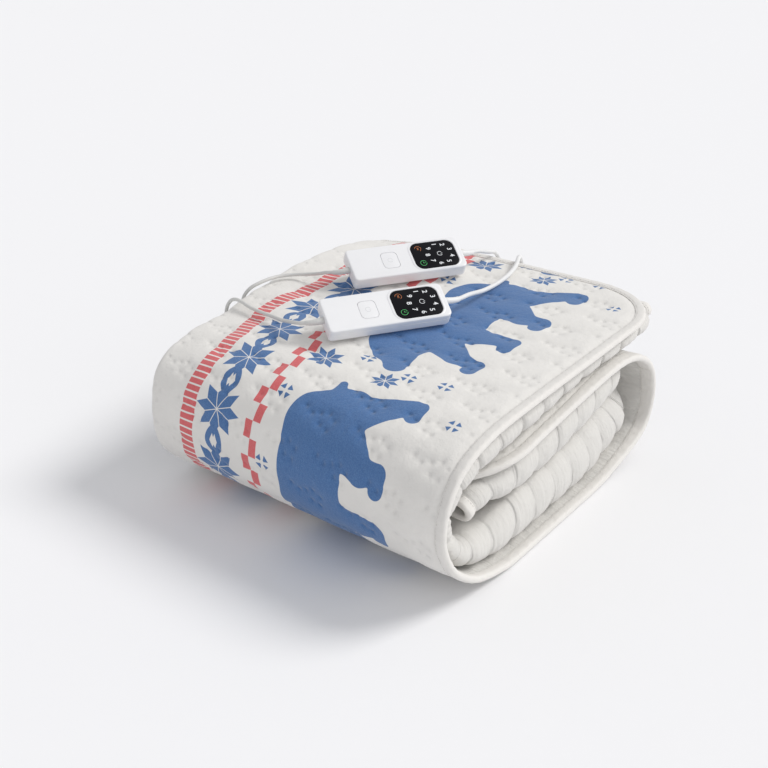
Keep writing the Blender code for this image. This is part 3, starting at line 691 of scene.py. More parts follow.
# %% The cords' routes, in the route's own frame
ROUTES = {
    "lead_front": (
        (-0.1289, -0.0885, 0.2175), (-0.1460, -0.0805, 0.2125), (-0.1660, -0.0705, 0.2080),
        (-0.1910, -0.0620, 0.2045), (-0.2151, -0.0568, 0.2040), (-0.2370, -0.0499, 0.2050),
        (-0.2510, -0.0470, 0.2040), (-0.2615, -0.0455, 0.1970), (-0.2680, -0.0450, 0.1840),
        (-0.2695, -0.0452, 0.1640), (-0.2700, -0.0460, 0.1380), (-0.2700, -0.0490, 0.1150),
        (-0.2700, -0.0570, 0.0980), (-0.2700, -0.0690, 0.0915), (-0.2700, -0.0810, 0.0980),
    ),
    "lead_back": (
        (-0.1920, 0.0560, 0.2200), (-0.2120, 0.0530, 0.2155), (-0.2290, 0.0450, 0.2135),
        (-0.2400, 0.0322, 0.2130), (-0.2455, 0.0180, 0.2125), (-0.2510, 0.0050, 0.2100),
        (-0.2590, -0.0050, 0.2040), (-0.2665, -0.0105, 0.1920), (-0.2695, -0.0120, 0.1750),
        (-0.2705, -0.0110, 0.1550), (-0.2710, -0.0060, 0.1330), (-0.2710, 0.0050, 0.1130),
        (-0.2710, 0.0220, 0.0990), (-0.2710, 0.0430, 0.0940), (-0.2710, 0.0640, 0.0980),
        (-0.2710, 0.0800, 0.1090),
    ),
    "mains_front": (
        (0.0185, 0.0950, 0.2260), (0.0180, 0.1180, 0.2210), (0.0150, 0.1432, 0.2150),
        (0.0112, 0.1808, 0.2108), (0.0090, 0.2062, 0.2105), (0.0050, 0.2316, 0.2110),
        (-0.0006, 0.2530, 0.2120), (-0.0080, 0.2710, 0.2130), (-0.0145, 0.2860, 0.2110),
        (-0.0190, 0.2980, 0.2040), (-0.0215, 0.3070, 0.1920), (-0.0220, 0.3110, 0.1760),
        (-0.0215, 0.3120, 0.1500), (-0.0205, 0.3120, 0.1100), (-0.0195, 0.3120, 0.0700),
        (-0.0180, 0.3115, 0.0380), (-0.0130, 0.3110, 0.0170), (-0.0010, 0.3110, 0.0055),
        (0.0160, 0.3110, 0.0032), (0.0380, 0.3110, 0.0032), (0.0585, 0.3110, 0.0032),
    ),
    "mains_back": (
        (-0.0518, 0.2440, 0.2250), (-0.0515, 0.2590, 0.2185), (-0.0530, 0.2740, 0.2140),
        (-0.0555, 0.2880, 0.2105), (-0.0580, 0.2990, 0.2030), (-0.0590, 0.3070, 0.1910),
        (-0.0595, 0.3110, 0.1750), (-0.0598, 0.3120, 0.1500), (-0.0604, 0.3120, 0.1100),
        (-0.0612, 0.3120, 0.0700), (-0.0630, 0.3115, 0.0380), (-0.0685, 0.3110, 0.0170),
        (-0.0805, 0.3110, 0.0055), (-0.0980, 0.3110, 0.0032), (-0.1300, 0.3110, 0.0032),
        (-0.1635, 0.3110, 0.0032),
    ),
}
CORD_STEP = 0.0045              # distance between the points of a finished cord
INTO_PIECE = 0.004              # how far a cord reaches into the piece that it leaves
EASE_FULL, EASE_GONE, EASE_IN = 0.085, 0.130, 0.012
EASE_PASSES = 14
READ_PER_POINT = 60


def smooth_path(points, step):
    """Points every step along a smooth curve through the route's own points."""
    values = np.array(points, float)
    fine = read_rows(values, READ_PER_POINT * len(values))
    along = run_of(fine)
    at = np.linspace(0, along[-1], max(int(along[-1] / step), 2) + 1)
    return np.column_stack([np.interp(at, along, column) for column in fine.T])


def eased(path):
    """The path with its first stretch smoothed, fading out between two distances."""
    along = run_of(path)
    share = np.clip((EASE_GONE - along) / (EASE_GONE - EASE_FULL), 0, 1)
    share *= np.clip(along / EASE_IN, 0, 1)
    for _ in range(EASE_PASSES):
        smoothed = np.vstack([path[:1], (path[:-2] + 2 * path[1:-1] + path[2:]) / 4, path[-1:]])
        path = path + (smoothed - path) * share[:, None]
    return path


def cord_curve(row, path, finish, *nodes):
    """A round cord along the path, as a curve of one open spline."""
    name = f"{row['name']}_cord"
    curve = bpy.data.curves.new(name, "CURVE")
    curve.dimensions = "3D"
    curve.bevel_depth, curve.bevel_resolution = row["diameter"] / 2, 4
    curve.use_fill_caps = True
    spline = curve.splines.new("POLY")
    spline.points.add(len(path) - 1)
    spline.points.foreach_set("co", np.column_stack([path, np.ones(len(path))]).ravel())
    spline.use_smooth = True
    curve.materials.append(finish)
    print(f"{name}: {run_of(path)[-1]:.3f} m")
    return assigned(added(name, curve), "topper", "cord_jacket", row["name"], *nodes)


def cord_start(row):
    """A cord's first points: inside its relief, at its tip and two diameters on, then its route."""
    line = RELIEF_LINES[row["name"]]
    ahead = (line[-1] - line[-2]).normalized()
    route = [Vector((x - CENTRE[0], y - CENTRE[1], z)) for x, y, z in ROUTES[row["name"]]]
    return [line[-1] - ahead * INTO_PIECE, line[-1], line[-1] + ahead * 2 * row["diameter"], *route]


# %% [markdown]
# A lead ends in the relief under its socket, which points straight down. The mains cords
# need their coils worked out: five and a half turns, three beside each other and then the
# rest above those, each shift made in a quarter turn as a hand-wound coil does it.

# %% Leads, mains cords and their coils
COILS = {                       # x, y, the way it is wound, and where its cord comes in
    "front": (0.0800, 0.3520, 1, 0.0585),
    "back": (-0.1850, 0.3520, -1, -0.1635),
}
WINDING = (                     # turn, radius, height
    (0.00, 0.0402, 0.0043), (0.75, 0.0402, 0.0043), (1.00, 0.0338, 0.0043), (1.75, 0.0338, 0.0043),
    (2.00, 0.0274, 0.0043), (2.75, 0.0274, 0.0043), (3.00, 0.0274, 0.0112), (3.75, 0.0274, 0.0112),
    (4.00, 0.0338, 0.0112), (4.75, 0.0338, 0.0112), (5.00, 0.0402, 0.0112), (5.35, 0.0402, 0.0112),
    (5.50, 0.0402, 0.0090),
)
COIL_STEP = 48                  # points in a turn
COIL_SOFT = 7                   # points over which each shift is smoothed
TAIL_Z = 0.0072
TAIL_LENGTH = 0.0175
TAIL_SAG = 0.0004


def coil_path(x, y, way):
    """The turns of a coil, from where the cord comes in to where its tail leaves."""
    turns = np.linspace(0, WINDING[-1][0], int(WINDING[-1][0] * COIL_STEP) + 1)
    table = np.array(WINDING)
    soft = np.ones(COIL_SOFT) / COIL_SOFT
    wound = [np.interp(turns, table[:, 0], column) for column in table.T[1:]]
    wound = [np.pad(column, COIL_SOFT // 2, mode="edge") for column in wound]
    radius, z = (np.convolve(column, soft, mode="valid") for column in wound)
    angle = -math.pi / 2 + 2 * math.pi * turns
    x = x - CENTRE[0] + way * radius * np.cos(angle)
    return np.column_stack([x, y - CENTRE[1] + radius * np.sin(angle), z])


def make_lead(row):
    low, high = (Vector(corner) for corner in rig.box(f"{row['name']}_socket_relief"))
    end = Vector(((low.x + high.x) / 2, (low.y + high.y) / 2, low.z))
    points = cord_start(row) + [end - Vector((0, 0, 3 * row["diameter"])), end]
    points.append(end + Vector((0, 0, INTO_PIECE)))
    return cord_curve(row, smooth_path(points, CORD_STEP), LEAD_JACKET)


def make_mains(row):
    name = row["handset"]
    x, y, way, cord_end_x = COILS[name]
    wound = coil_path(x, y, way)
    y = wound[-1][1]
    tail_x = cord_end_x - way * TAIL_LENGTH - CENTRE[0]
    run = eased(smooth_path(cord_start(row) + [Vector(wound[0])], CORD_STEP))
    tail = [((wound[-1][0] + tail_x) / 2, y, TAIL_Z + TAIL_SAG), (tail_x, y, TAIL_Z)]
    tail = [wound[-2], wound[-1], *tail, (tail_x - way * INTO_PIECE, y, TAIL_Z)]
    path = np.vstack([run[:-1], wound, smooth_path(tail, CORD_STEP)[2:]])
    return cord_curve(row, path, JACKET, f"mains_coil_{name}", f"mains_tail_{name}")


CORDS = {row["name"]: (make_mains if row["side"] > 0 else make_lead)(row) for row in RELIEFS}


# %% [markdown]
# The pad is printed cloth, wadding and a plain back cloth, quilted through all three. The
# quilting is not sewn in long lines: small clusters of seven points step across the strip
# in a zigzag, and every other row of clusters is shifted by half a step. Each point pulls
# both faces in to a pit, and the wadding puffs up between the clusters. The places are
# given in the flat cloth's own sizes, across from the near edge and along from the head
# end. One rule makes them, so that the mesh and its finish can both use it.

# %% The quilting points on the flat cloth
CLUSTER_STEP = 0.0500               # from one row of clusters to the next
CLUSTER_SPACING = 0.0800            # between clusters in a row
ROW_FIRST = 0.0290
CLUSTER = (                         # each point as (across, along) from the cluster's middle
    (0.0245, -0.0065), (0.0130, -0.0005), (0.0015, -0.0045), (-0.0105, -0.0085),
    (-0.0215, -0.0020), (-0.0045, 0.0095), (-0.0165, 0.0130),
)
SWAY_ACROSS, SWAY_ALONG = 0.0035, 0.0030    # how far the rows wander, as hand-fed cloth does
FLAT_WIDTH = 1.445                  # from bound edge to bound edge, opened out


def swayed(across, along, sine):
    """The regular pattern's own place for a place on the cloth."""
    return (
        across + SWAY_ACROSS * sine(along * 17.0 + across * 9.0),
        along + SWAY_ALONG * sine(across * 23.0 + along * 5.0),
    )


def quilting_points():
    """Places of all points, on the regular pattern."""
    points = []
    for row in range(int(SHEET_LENGTH / CLUSTER_STEP) + 2):
        for number in range(-1, int(FLAT_WIDTH / CLUSTER_SPACING) + 2):
            across = (number + 0.5 + row % 2 / 2) * CLUSTER_SPACING
            along = ROW_FIRST + row * CLUSTER_STEP
            points += [(across + point[0], along + point[1]) for point in CLUSTER]
    return np.array(points)


POINTS = quilting_points()
print(f"{len(POINTS)} quilting points in clusters of {len(CLUSTER)}")


# %% [markdown]
# The sections of the strip are close together where the printed face shows and a little
# further apart in the passes underneath. Every section has the same number of points, so
# the whole pad is one grid that closes round its three layers.

# %% Where the cloth is cut into a grid
SHOWN_LENGTH = 0.84             # the stretch whose printed face shows
SHOWN_STEP = 0.0036
HIDDEN_STEP = 0.0060
LAYER_RUN = 0.455               # about the width of one layer
PRESSED_CUTS = np.array([0.0, 0.002, 0.005, 0.009, 0.013, 0.017]) / LAYER_RUN
END_CUTS = [0.0, 0.0025, 0.006, 0.010, 0.0145]
END_RUN = 0.018


def cut(*runs):
    """Shares of a layer in runs: a list as it is, or (from, to, how many)."""
    return np.concatenate([np.linspace(*run) if isinstance(run, tuple) else run for run in runs])


LAST_CUTS = [0.925, 0.95, 0.975, 1.0]
PRINTED_CUTS = {
    "first": cut(PRESSED_CUTS, (0.046, 1, 122)),
    "far fold": cut((0, 1, 10))[1:-1],
    "second": cut((0, 1, 8)),
    "near fold": cut((0, 1, 7))[1:-1],
    "third": cut((0, 0.9, 7), LAST_CUTS),
}
BACK_CUTS = {
    "first": cut([0.0, 0.012, 0.028, 0.045], (0.07, 0.30, 13), (0.36, 1, 11)),
    "far fold": cut((0, 1, 5))[1:-1],
    "second": cut((0, 0.82, 7), [0.87, 0.91, 0.94, 0.965, 0.985, 1.0]),
    "near fold": cut((0, 1, 30))[1:-1],
    "third": cut([0.0, 0.015, 0.035, 0.06, 0.09, 0.13, 0.18], (0.26, 0.9, 6), LAST_CUTS),
}
PLACES = np.concatenate([       # distances v of the sections along the strip
    END_CUTS, np.arange(END_RUN, SHOWN_LENGTH, SHOWN_STEP),
    np.arange(SHOWN_LENGTH, SHEET_LENGTH - END_RUN, HIDDEN_STEP),
    SHEET_LENGTH - np.array(END_CUTS)[::-1],
])
around_it = [sum(map(len, cuts.values())) for cuts in (PRINTED_CUTS, BACK_CUTS)]
print(f"{len(PLACES)} sections of {around_it[0]} printed and {around_it[1]} back points")


# %% The pad's two faces
def edge_distance(from_side, v):
    """Distance to the strip's outline, with its rounded corners."""
    end = min(v, SHEET_LENGTH - v)
    round_corner = CORNER_RADIUS - np.hypot(CORNER_RADIUS - from_side, CORNER_RADIUS - end)
    near_corner = (from_side < CORNER_RADIUS) & (end < CORNER_RADIUS)
    return np.where(near_corner, round_corner, np.minimum(from_side, end))


def thickness(edge):
    """Thickness of the pad at this distance from its outline, swelling in a soft curve."""
    share = np.clip((edge - EDGE_FLAT * 0.62) / EDGE_SWELL, 0.0, 1.0)
    return EDGE_THICK + (PAD_THICK - EDGE_THICK) * np.sin(share * math.pi / 2) ** 0.8


def face_points(cuts, side):
    """One face: points, flat places across, distance to the outline, middle points."""
    sections = []
    for v in PLACES:
        inset = float(corner_inset(v))
        x, depth, ahead_x, ahead_d = middle_line(v, inset, cuts)
        run = run_of(np.column_stack([x, depth]))
        edge = edge_distance(np.minimum(run, run[-1] - run) + inset, v)
        half = side * thickness(edge) / 2
        face = placed(v, x + ahead_d * half, depth - ahead_x * half)
        sections.append((face, run + inset, edge, placed(v, x, depth)))
    return [np.array(column) for column in zip(*sections)]


PRINTED_FACE = face_points(PRINTED_CUTS, -1.0)
BACK_FACE = face_points(BACK_CUTS, 1.0)
print("flat width at the middle:", round(float(PRINTED_FACE[1][len(PLACES) // 3].max()), 3))


# %% [markdown]
# The quilting is worked out on the flat cloth and pushed in along each face's own normal.
# Three things add up: a soft valley along every row, a wide hollow round every point, and
# the pit at the point itself. Where the pad turns over at the near fold it is crowded, so
# the rows bite deeper there and gathers stand beside them; on the inside of a fold of the
# whole strip, the cloth is squeezed into pleats that run in from the bound edge.

# %% Pushing the quilting into both faces
VALLEY, VALLEY_HALF = 0.0007, 0.0120
PIT, PIT_HALF = 0.0018, 0.0044
SINK, SINK_HALF = 0.00075, 0.0105
REACH = 0.026
EDGE_CALM, EDGE_CALM_RUN = 0.012, 0.014     # no quilting this near the edge, and its way in
FAR_CALM, FAR_CALM_HALF = 0.6, 0.045        # how much is lost round the far fold
NEAR_HALF = 0.052                           # how far the near fold is crowded
FOLD_BITE, FOLD_BITE_HALF = 0.0024, 0.0046
FOLD_CALM = 0.60                # how much of the flat cloth's troughs is lost round a fold
GATHER, GATHER_LENGTH, GATHER_HALF = 0.00062, 0.0135, 0.018
PLEAT, PLEAT_LENGTH, PLEAT_REACH = 0.0011, 0.0150, 0.060
FOLDS_ALONG = ((0.500, 0.130), (1.105, 0.110))      # where the strip turns over, and its reach


def bell(distance, half):
    return np.exp(-((distance / half) ** 2))


def lap_of(along):
    """Distance from the nearest row of clusters."""
    return (along - ROW_FIRST + CLUSTER_STEP / 2) % CLUSTER_STEP - CLUSTER_STEP / 2


def quilt_depth(across, along):
    """How far each point of a face is pulled in, from the flat places of the grid."""
    across, along = swayed(across, np.broadcast_to(along[:, None], across.shape), np.sin)
    depth = VALLEY * bell(lap_of(along), VALLEY_HALF)
    low, high = along.min(axis=1), along.max(axis=1)
    for point in POINTS:
        sections = np.flatnonzero((high > point[1] - REACH) & (low < point[1] + REACH))
        if not len(sections):
            continue
        window = slice(sections[0], sections[-1] + 1)
        cols = np.flatnonzero((abs(across[window] - point[0]) < REACH).any(axis=0))
        if not len(cols):
            continue
        place = (window, slice(cols[0], cols[-1] + 1))
        away = np.hypot(across[place] - point[0], along[place] - point[1])
        depth[place] += PIT * bell(away, PIT_HALF) + SINK * bell(away, SINK_HALF)
    return depth


def outward(points, middles):
    """Unit normals of a face's grid, away from the middle of the pad."""
    normal = np.cross(np.gradient(points, axis=0), np.gradient(points, axis=1))
    normal /= np.linalg.norm(normal, axis=2, keepdims=True) + 1e-12
    facing = np.sign(((points - middles) * normal).sum(axis=2, keepdims=True))
    return normal * np.where(facing == 0, 1, facing)


def middle_of(face, cuts, layer):
    """Flat places across, section by section, of the middle of one layer."""
    before = sum(len(cuts[earlier]) for earlier in LAYERS[: LAYERS.index(layer)])
    return face[1][:, [before + len(cuts[layer]) // 2]]


FAR_FOLD_ACROSS = middle_of(PRINTED_FACE, PRINTED_CUTS, "far fold")
NEAR_FOLD_ACROSS = middle_of(BACK_FACE, BACK_CUTS, "near fold")


def crowding(across, along):
    """How much more the back cloth is pulled in at the crowded folds, and its calm there."""
    fold = bell(across - NEAR_FOLD_ACROSS, NEAR_HALF)
    slant = lap_of(along) + 0.10 * (across - NEAR_FOLD_ACROSS) * np.sin(along * 40)
    bite = 0.80 + 0.20 * np.sin(across * 95.0 + along * 61.0 + 1.0)
    depth = FOLD_BITE * bite * fold * bell(slant, FOLD_BITE_HALF)
    wave = np.sin(2 * math.pi * along / GATHER_LENGTH + 5 * np.sin(23 * along) + 30 * across)
    depth += GATHER * fold * (1 + wave) * bell(lap_of(along), GATHER_HALF)
    turned = sum(bell(along - at, reach) for at, reach in FOLDS_ALONG)
    pleat = np.sin(2 * math.pi * along / PLEAT_LENGTH + 4 * np.sin(31 * along) + 12 * across)
    return depth + PLEAT * turned * (1 + pleat) * bell(across, PLEAT_REACH), 1 - FOLD_CALM * fold


def quilted(face, crowded):
    """The face's points with its quilting, its crowded fold and its loose edge."""
    points, across, edge, middles = face
    far_calm = FAR_CALM * bell(across - FAR_FOLD_ACROSS, FAR_CALM_HALF)
    depth = quilt_depth(across, PLACES) * (1 - far_calm)
    if crowded:
        more, calm = crowding(across, PLACES[:, None])
        depth = depth * calm + more
    depth *= np.clip((edge - EDGE_CALM) / EDGE_CALM_RUN, 0, 1)
    return points - outward(points, middles) * depth[:, :, None]


printed, back = quilted(PRINTED_FACE, False), quilted(BACK_FACE, True)
print(f"near fold lies {NEAR_FOLD_ACROSS.min():.3f} to {NEAR_FOLD_ACROSS.max():.3f} across")

# %% One closed grid for the pad
BACK_OFFSET = 10.0              # the back cloth's flat places start here, beyond the print


def strip_end(row, around):
    """Triangles that close one end of the strip, between its printed and its back face."""
    runs = [face[1][row] / face[1][row][-1] for face in (PRINTED_FACE, BACK_FACE)]
    near, far = map(len, runs)
    one = [row * around + k for k in range(near)]
    two = [row * around + around - 1 - k for k in range(far)]
    i = j = 0
    made = []
    while i < near - 1 or j < far - 1:
        if j == far - 1 or (i < near - 1 and runs[0][i + 1] <= runs[1][j + 1]):
            made.append([one[i + 1], one[i], two[j]])
            i += 1
        else:
            made.append([one[i], two[j], two[j + 1]])
            j += 1
    return made


def pad_mesh():
    """Both faces as one closed mesh, with the flat cloth's places as its UV map."""
    ring = np.concatenate([printed, back[:, ::-1]], axis=1)
    count, around = ring.shape[:2]
    faces = grid_faces(count, around) + strip_end(0, around)
    faces += [face[::-1] for face in strip_end(count - 1, around)]
    mesh = mesh_of("quilted_pad", ring, faces)
    flat_u = np.concatenate([PRINTED_FACE[1], BACK_FACE[1][:, ::-1] + BACK_OFFSET], axis=1).ravel()
    flat_v = np.repeat(PLACES, around)
    loops = np.empty(len(mesh.loops), np.int32)
    mesh.loops.foreach_get("vertex_index", loops)
    layer = mesh.uv_layers.new(name="flat")
    layer.data.foreach_set("uv", np.column_stack([flat_u[loops], flat_v[loops]]).ravel())
    return edited(mesh, turn_out)


pad = piece("quilted_pad", pad_mesh(), None, 80.0)
assigned(pad, "topper", "quilted_cloth", "quilted_topper")
print(f"quilted pad: {len(pad.data.polygons)} faces")


# %% [markdown]
# The face is printed in two inks on off-white jersey: a denim blue and a coral red. The
# print is drawn by the material from the flat cloth's own places, so it bends with every
# fold and stays sharp at any distance. Each motif is a small sum that is positive inside
# its shape: a rounded bar for the limbs of a bear, a folded angle for a star. The bears
# are plain walking ones, and the whole print repeats along the strip.

# %% Small shapes as sums over the flat cloth
INK_EDGE = 0.0005               # how soft the edge of the ink is


def bar(graph, x, y, start, end):
    """How far a point lies inside a bar with round ends; each end is (x, y, radius)."""
    (ax, ay, ar), (bx, by, br) = start, end
    dx, dy = bx - ax, by - ay
    square = dx * dx + dy * dy
    part = graph.scaled(y, dy / square, -(ax * dx + ay * dy) / square)
    share = graph.scaled(x, dx / square, part, clamp=True)
    away_x = graph.scaled(share, -dx, x - ax)
    away_y = graph.scaled(share, -dy, y - ay)
    return graph.scaled(share, br - ar, ar) - graph.length(away_x, away_y)


# %% The motifs
# A bear seen from its side, walking forward: each bar's ends as (forward, up, radius).
BEAR_BARS = (
    ("body", (0.082, 0.114, 0.047), (0.205, 0.108, 0.050)),
    ("rump", (0.055, 0.092, 0.036), (0.085, 0.116, 0.048)),
    ("shoulder", (0.205, 0.112, 0.049), (0.240, 0.112, 0.046)),
    ("neck", (0.240, 0.112, 0.046), (0.282, 0.114, 0.037)),
    ("head", (0.284, 0.114, 0.036), (0.304, 0.106, 0.029)),
    ("muzzle", (0.308, 0.100, 0.023), (0.336, 0.089, 0.015)),
    ("ear", (0.268, 0.150, 0.009), (0.272, 0.144, 0.011)),
    ("tail", (0.020, 0.120, 0.006), (0.046, 0.116, 0.013)),
    ("back thigh", (0.058, 0.084, 0.034), (0.030, 0.040, 0.018)),
    ("back shank", (0.030, 0.040, 0.017), (0.012, 0.014, 0.013)),
    ("back foot", (0.012, 0.011, 0.011), (0.030, 0.010, 0.010)),
    ("other thigh", (0.092, 0.078, 0.034), (0.118, 0.036, 0.018)),
    ("other shank", (0.118, 0.036, 0.017), (0.114, 0.013, 0.013)),
    ("other foot", (0.114, 0.011, 0.011), (0.133, 0.010, 0.010)),
    ("fore leg", (0.200, 0.078, 0.031), (0.190, 0.014, 0.014)),
    ("fore foot", (0.190, 0.011, 0.011), (0.209, 0.010, 0.010)),
    ("reaching leg", (0.238, 0.084, 0.030), (0.270, 0.038, 0.017)),
    ("reaching shank", (0.270, 0.038, 0.016), (0.272, 0.013, 0.012)),
    ("reaching foot", (0.272, 0.011, 0.011), (0.291, 0.010, 0.010)),
)
BEAR_SOFT = 0.006               # size of the soft inner corners between bars
STAR_TURN = math.pi / 4         # eight petals
STAR_LINE = 0.0006              # half of the white line between two petals
STAR_SPREAD = math.tan(STAR_TURN / 2)
STAR_TAPER = 0.47
DIAMOND_LONG, DIAMOND_SHAPE = 0.0155, 0.42      # half length of the empty diamond, and its slope
LEAF_LONG, LEAF_WIDE = 0.0250, 0.0145
DART_SLOPE, DART_BACK, NOTCH_SLOPE, NOTCH_AT = 0.62, 0.0012, 1.2, 0.40


def bear(graph, forward, up):
    whole = None
    for _, *ends in BEAR_BARS:
        shape = bar(graph, forward, up, *ends)
        whole = graph.maths("SMOOTH_MAX", whole, shape, BEAR_SOFT) if whole else shape
    return whole


def star(graph, x, y, radius):
    """An eight-petalled star: one petal, repeated by folding the angle."""
    angle = graph.maths("ARCTAN2", y, x)
    turn = graph.maths("PINGPONG", angle + 2 * math.pi, STAR_TURN / 2)
    reach = graph.length(x, y)
    along = reach * graph.maths("COSINE", turn)
    aside = reach * graph.maths("SINE", turn)
    root = graph.scaled(along, STAR_SPREAD, -STAR_LINE) - aside
    return graph.least(root, graph.scaled(along, -STAR_TAPER, STAR_TAPER * radius) - aside)


def leaf_pair(graph, x, y):
    """Two pointed leaves side by side round an empty diamond, with x along them."""
    bow = graph.scaled(x * x, -LEAF_WIDE / LEAF_LONG**2, LEAF_WIDE) - abs(y)
    diamond = graph.scaled(abs(x), -DIAMOND_SHAPE, DIAMOND_SHAPE * DIAMOND_LONG)
    return graph.least(bow, abs(y) - diamond)


def flake(graph, x, y, size):
    """Four small darts that point at each other."""
    x, y = abs(x), abs(y)
    out, aside = (x + y) * math.sqrt(0.5), abs(x - y) * math.sqrt(0.5)
    dart = graph.least(out * DART_SLOPE - aside - DART_BACK, size - out)
    return graph.least(dart, aside * NOTCH_SLOPE + out - size * NOTCH_AT)


# %% [markdown]
# The places on the cloth are chosen in its flat sizes: two red borders with a chain of
# stars between them near the far fold, then the bears with loose stars and flakes round
# them, and a plain margin towards the bound edge. The pattern repeats every 39 cm.

# %% The layout of the print
REPEAT, REPEAT_START = 0.39, 0.060
BEAR_FEET = 0.088               # across, where the bears stand
CHAIN_ACROSS, CHAIN_STEP, CHAIN_START, CHAIN_STAR = 0.3560, 0.0858, 0.2250, 0.0375
RAIL_LOW, RAIL_HIGH, RAIL_STEP, RAIL_SHARE = 0.3940, 0.4170, 0.0100, 0.76
CHECK_LOW, CHECK_HIGH, CHECK_STEP = 0.2830, 0.3070, 0.0460
LOOSE = (                       # shape, across, along, size
    ("star", 0.262, 0.371, 0.0270), ("star", 0.168, 0.375, 0.0200),
    ("flake", 0.214, 0.338, 0.0100), ("flake", 0.272, 0.062, 0.0100),
    ("flake", 0.272, 0.160, 0.0100), ("flake", 0.146, 0.352, 0.0095),
    ("flake", 0.098, 0.344, 0.0095), ("flake", 0.046, 0.020, 0.0090),
)
ASKEW = ((0.345, 0.062, 0.014), (0.515, 0.075, 0.009))   # along, reach and shift across
ASKEW_SLOPE = 2.4


def drifted(graph, across, along):
    """The print was pulled a little askew where the strip turns over its main fold."""
    one, other = (
        graph.bell(graph.scaled(along, 1 / reach, -at / reach)) * shift
        for at, reach, shift in ASKEW
    )
    far = graph.maths("MULTIPLY", across, ASKEW_SLOPE, clamp=True)
    return across - far * (one - other)


def print_inks(graph, across, along):
    """How much blue and how much red ink there is at a place of the flat cloth."""
    across = drifted(graph, across, along)
    lap = graph.maths("FLOORED_MODULO", along - REPEAT_START, REPEAT)
    blue = [bear(graph, lap, across - BEAR_FEET)]
    for kind, at_across, at_along, size in LOOSE:
        shape = star if kind == "star" else flake
        blue.append(shape(graph, lap - at_along, across - at_across, size))
    chain = graph.maths("FLOORED_MODULO", along - (CHAIN_START - CHAIN_STEP / 2), CHAIN_STEP)
    side = across - CHAIN_ACROSS
    blue.append(star(graph, chain - CHAIN_STEP / 2, side, CHAIN_STAR))
    blue.append(leaf_pair(graph, graph.maths("PINGPONG", chain, CHAIN_STEP / 2), side))

    beat = graph.maths("FLOORED_MODULO", along, RAIL_STEP)
    dash = graph.least(beat, RAIL_STEP * RAIL_SHARE - beat)
    rail = graph.least(across - RAIL_LOW, RAIL_HIGH - across, dash)
    swing = graph.maths("PINGPONG", along, CHECK_STEP / 2) - CHECK_STEP / 4
    row_of = across - (CHECK_LOW + CHECK_HIGH) / 2
    squares = graph.most(graph.least(row_of, swing), graph.least(0 - row_of, 0 - swing))
    check = graph.least(across - CHECK_LOW, CHECK_HIGH - across, squares)
    # A measure becomes ink: 1 where it is positive and 0 where it is negative.
    return [
        graph.scaled(graph.most(*shapes), 1 / INK_EDGE, 0.5, clamp=True)
        for shapes in (blue, (rail, check))
    ]


# %% [markdown]
# The cloth itself is a brushed jersey: fine uneven loops, with soft wrinkles a centimetre
# or two long, and a faint sheen, because brushed fibres stand up from it. The ink lies in
# the fibres, so it is slightly uneven, like worn denim. The quilting points are drawn once
# more here, as small sharp pits in the bump, by the same rule that placed them in the mesh,
# and as painted shade that darkens the cloth's colour in each pit; the fine gathers of the
# crowded folds are drawn once more in the bump too, as noise stretched along the cloth.

# %% The quilted cloth's finish
PIT_MARK = 0.0029               # half width of a pit's sharp middle
PIT_PAINTED_SHADE = 0.05                # how much painted shade darkens the cloth in a pit
PIT_DEEP, PIT_DEEPER_IN_BLUE = 0.42, 0.33
NEAR_FOLD_MIDDLE = 0.925
GATHER_REACH = 0.085
AT_FOLD, AT_EDGE, AT_ROW = 1.25, 2.0, 1.3       # how strong the gathers and creases are
ROW_CREASE = 0.0022             # half width of the crease that a row makes over the near fold
BACK_SHARE = 0.25               # how much a point shows on the back cloth
CLOTH_RELIEF = 0.0018
RED = (0.640, 0.090, 0.100, 1.0)
BLUE = (0.040, 0.125, 0.320, 1.0)
BLUE_WORN = (0.085, 0.200, 0.420, 1.0)
CLOTH = (0.740, 0.722, 0.690, 1.0)
CLOTH_WARM = (0.790, 0.772, 0.738, 1.0)
# The back cloth is darker than the binding: partly its own duller tone, partly painted shade for the near side and the
# lower passes
BACK_CLOTH_WITH_PAINTED_SHADE = (0.655, 0.640, 0.610, 1.0)
# the near-black towards which the pits' painted shade is blended
PAINTED_SHADE_COLOUR = (0.02, 0.02, 0.025, 1.0)


def row_level(along):
    """The number of the row of clusters, with a fraction that is a half at the row itself."""
    return (along - (ROW_FIRST - CLUSTER_STEP / 2)) * (1 / CLUSTER_STEP)


def pit_marks(graph, across, along):
    """1 in the middle of a quilting point and 0 away from it."""
    across, along = swayed(across, along, lambda angle: graph.maths("SINE", angle))
    level = row_level(along)
    shift = graph.maths("PINGPONG", graph.maths("FLOOR", level), 1.0) * (CLUSTER_SPACING / 2)
    x = graph.maths("FLOORED_MODULO", across - shift, CLUSTER_SPACING) - CLUSTER_SPACING / 2
    y = (graph.maths("FRACT", level) - 0.5) * CLUSTER_STEP
    away = [(x - point[0], y - point[1]) for point in CLUSTER]
    nearest = graph.least(*(graph.scaled(dx, dx, dy * dy) for dx, dy in away))
    return graph.maths("EXPONENT", nearest * (-1 / PIT_MARK**2))


def stretched(graph, across, along, by_across, by_along, *detail):
    """Noise that is drawn out along one way of the flat cloth."""
    place = graph.node("ShaderNodeCombineXYZ", (), {0: across * by_across, 1: along * by_along})
    return graph.noise(place.outputs[0], 1.0, *detail)


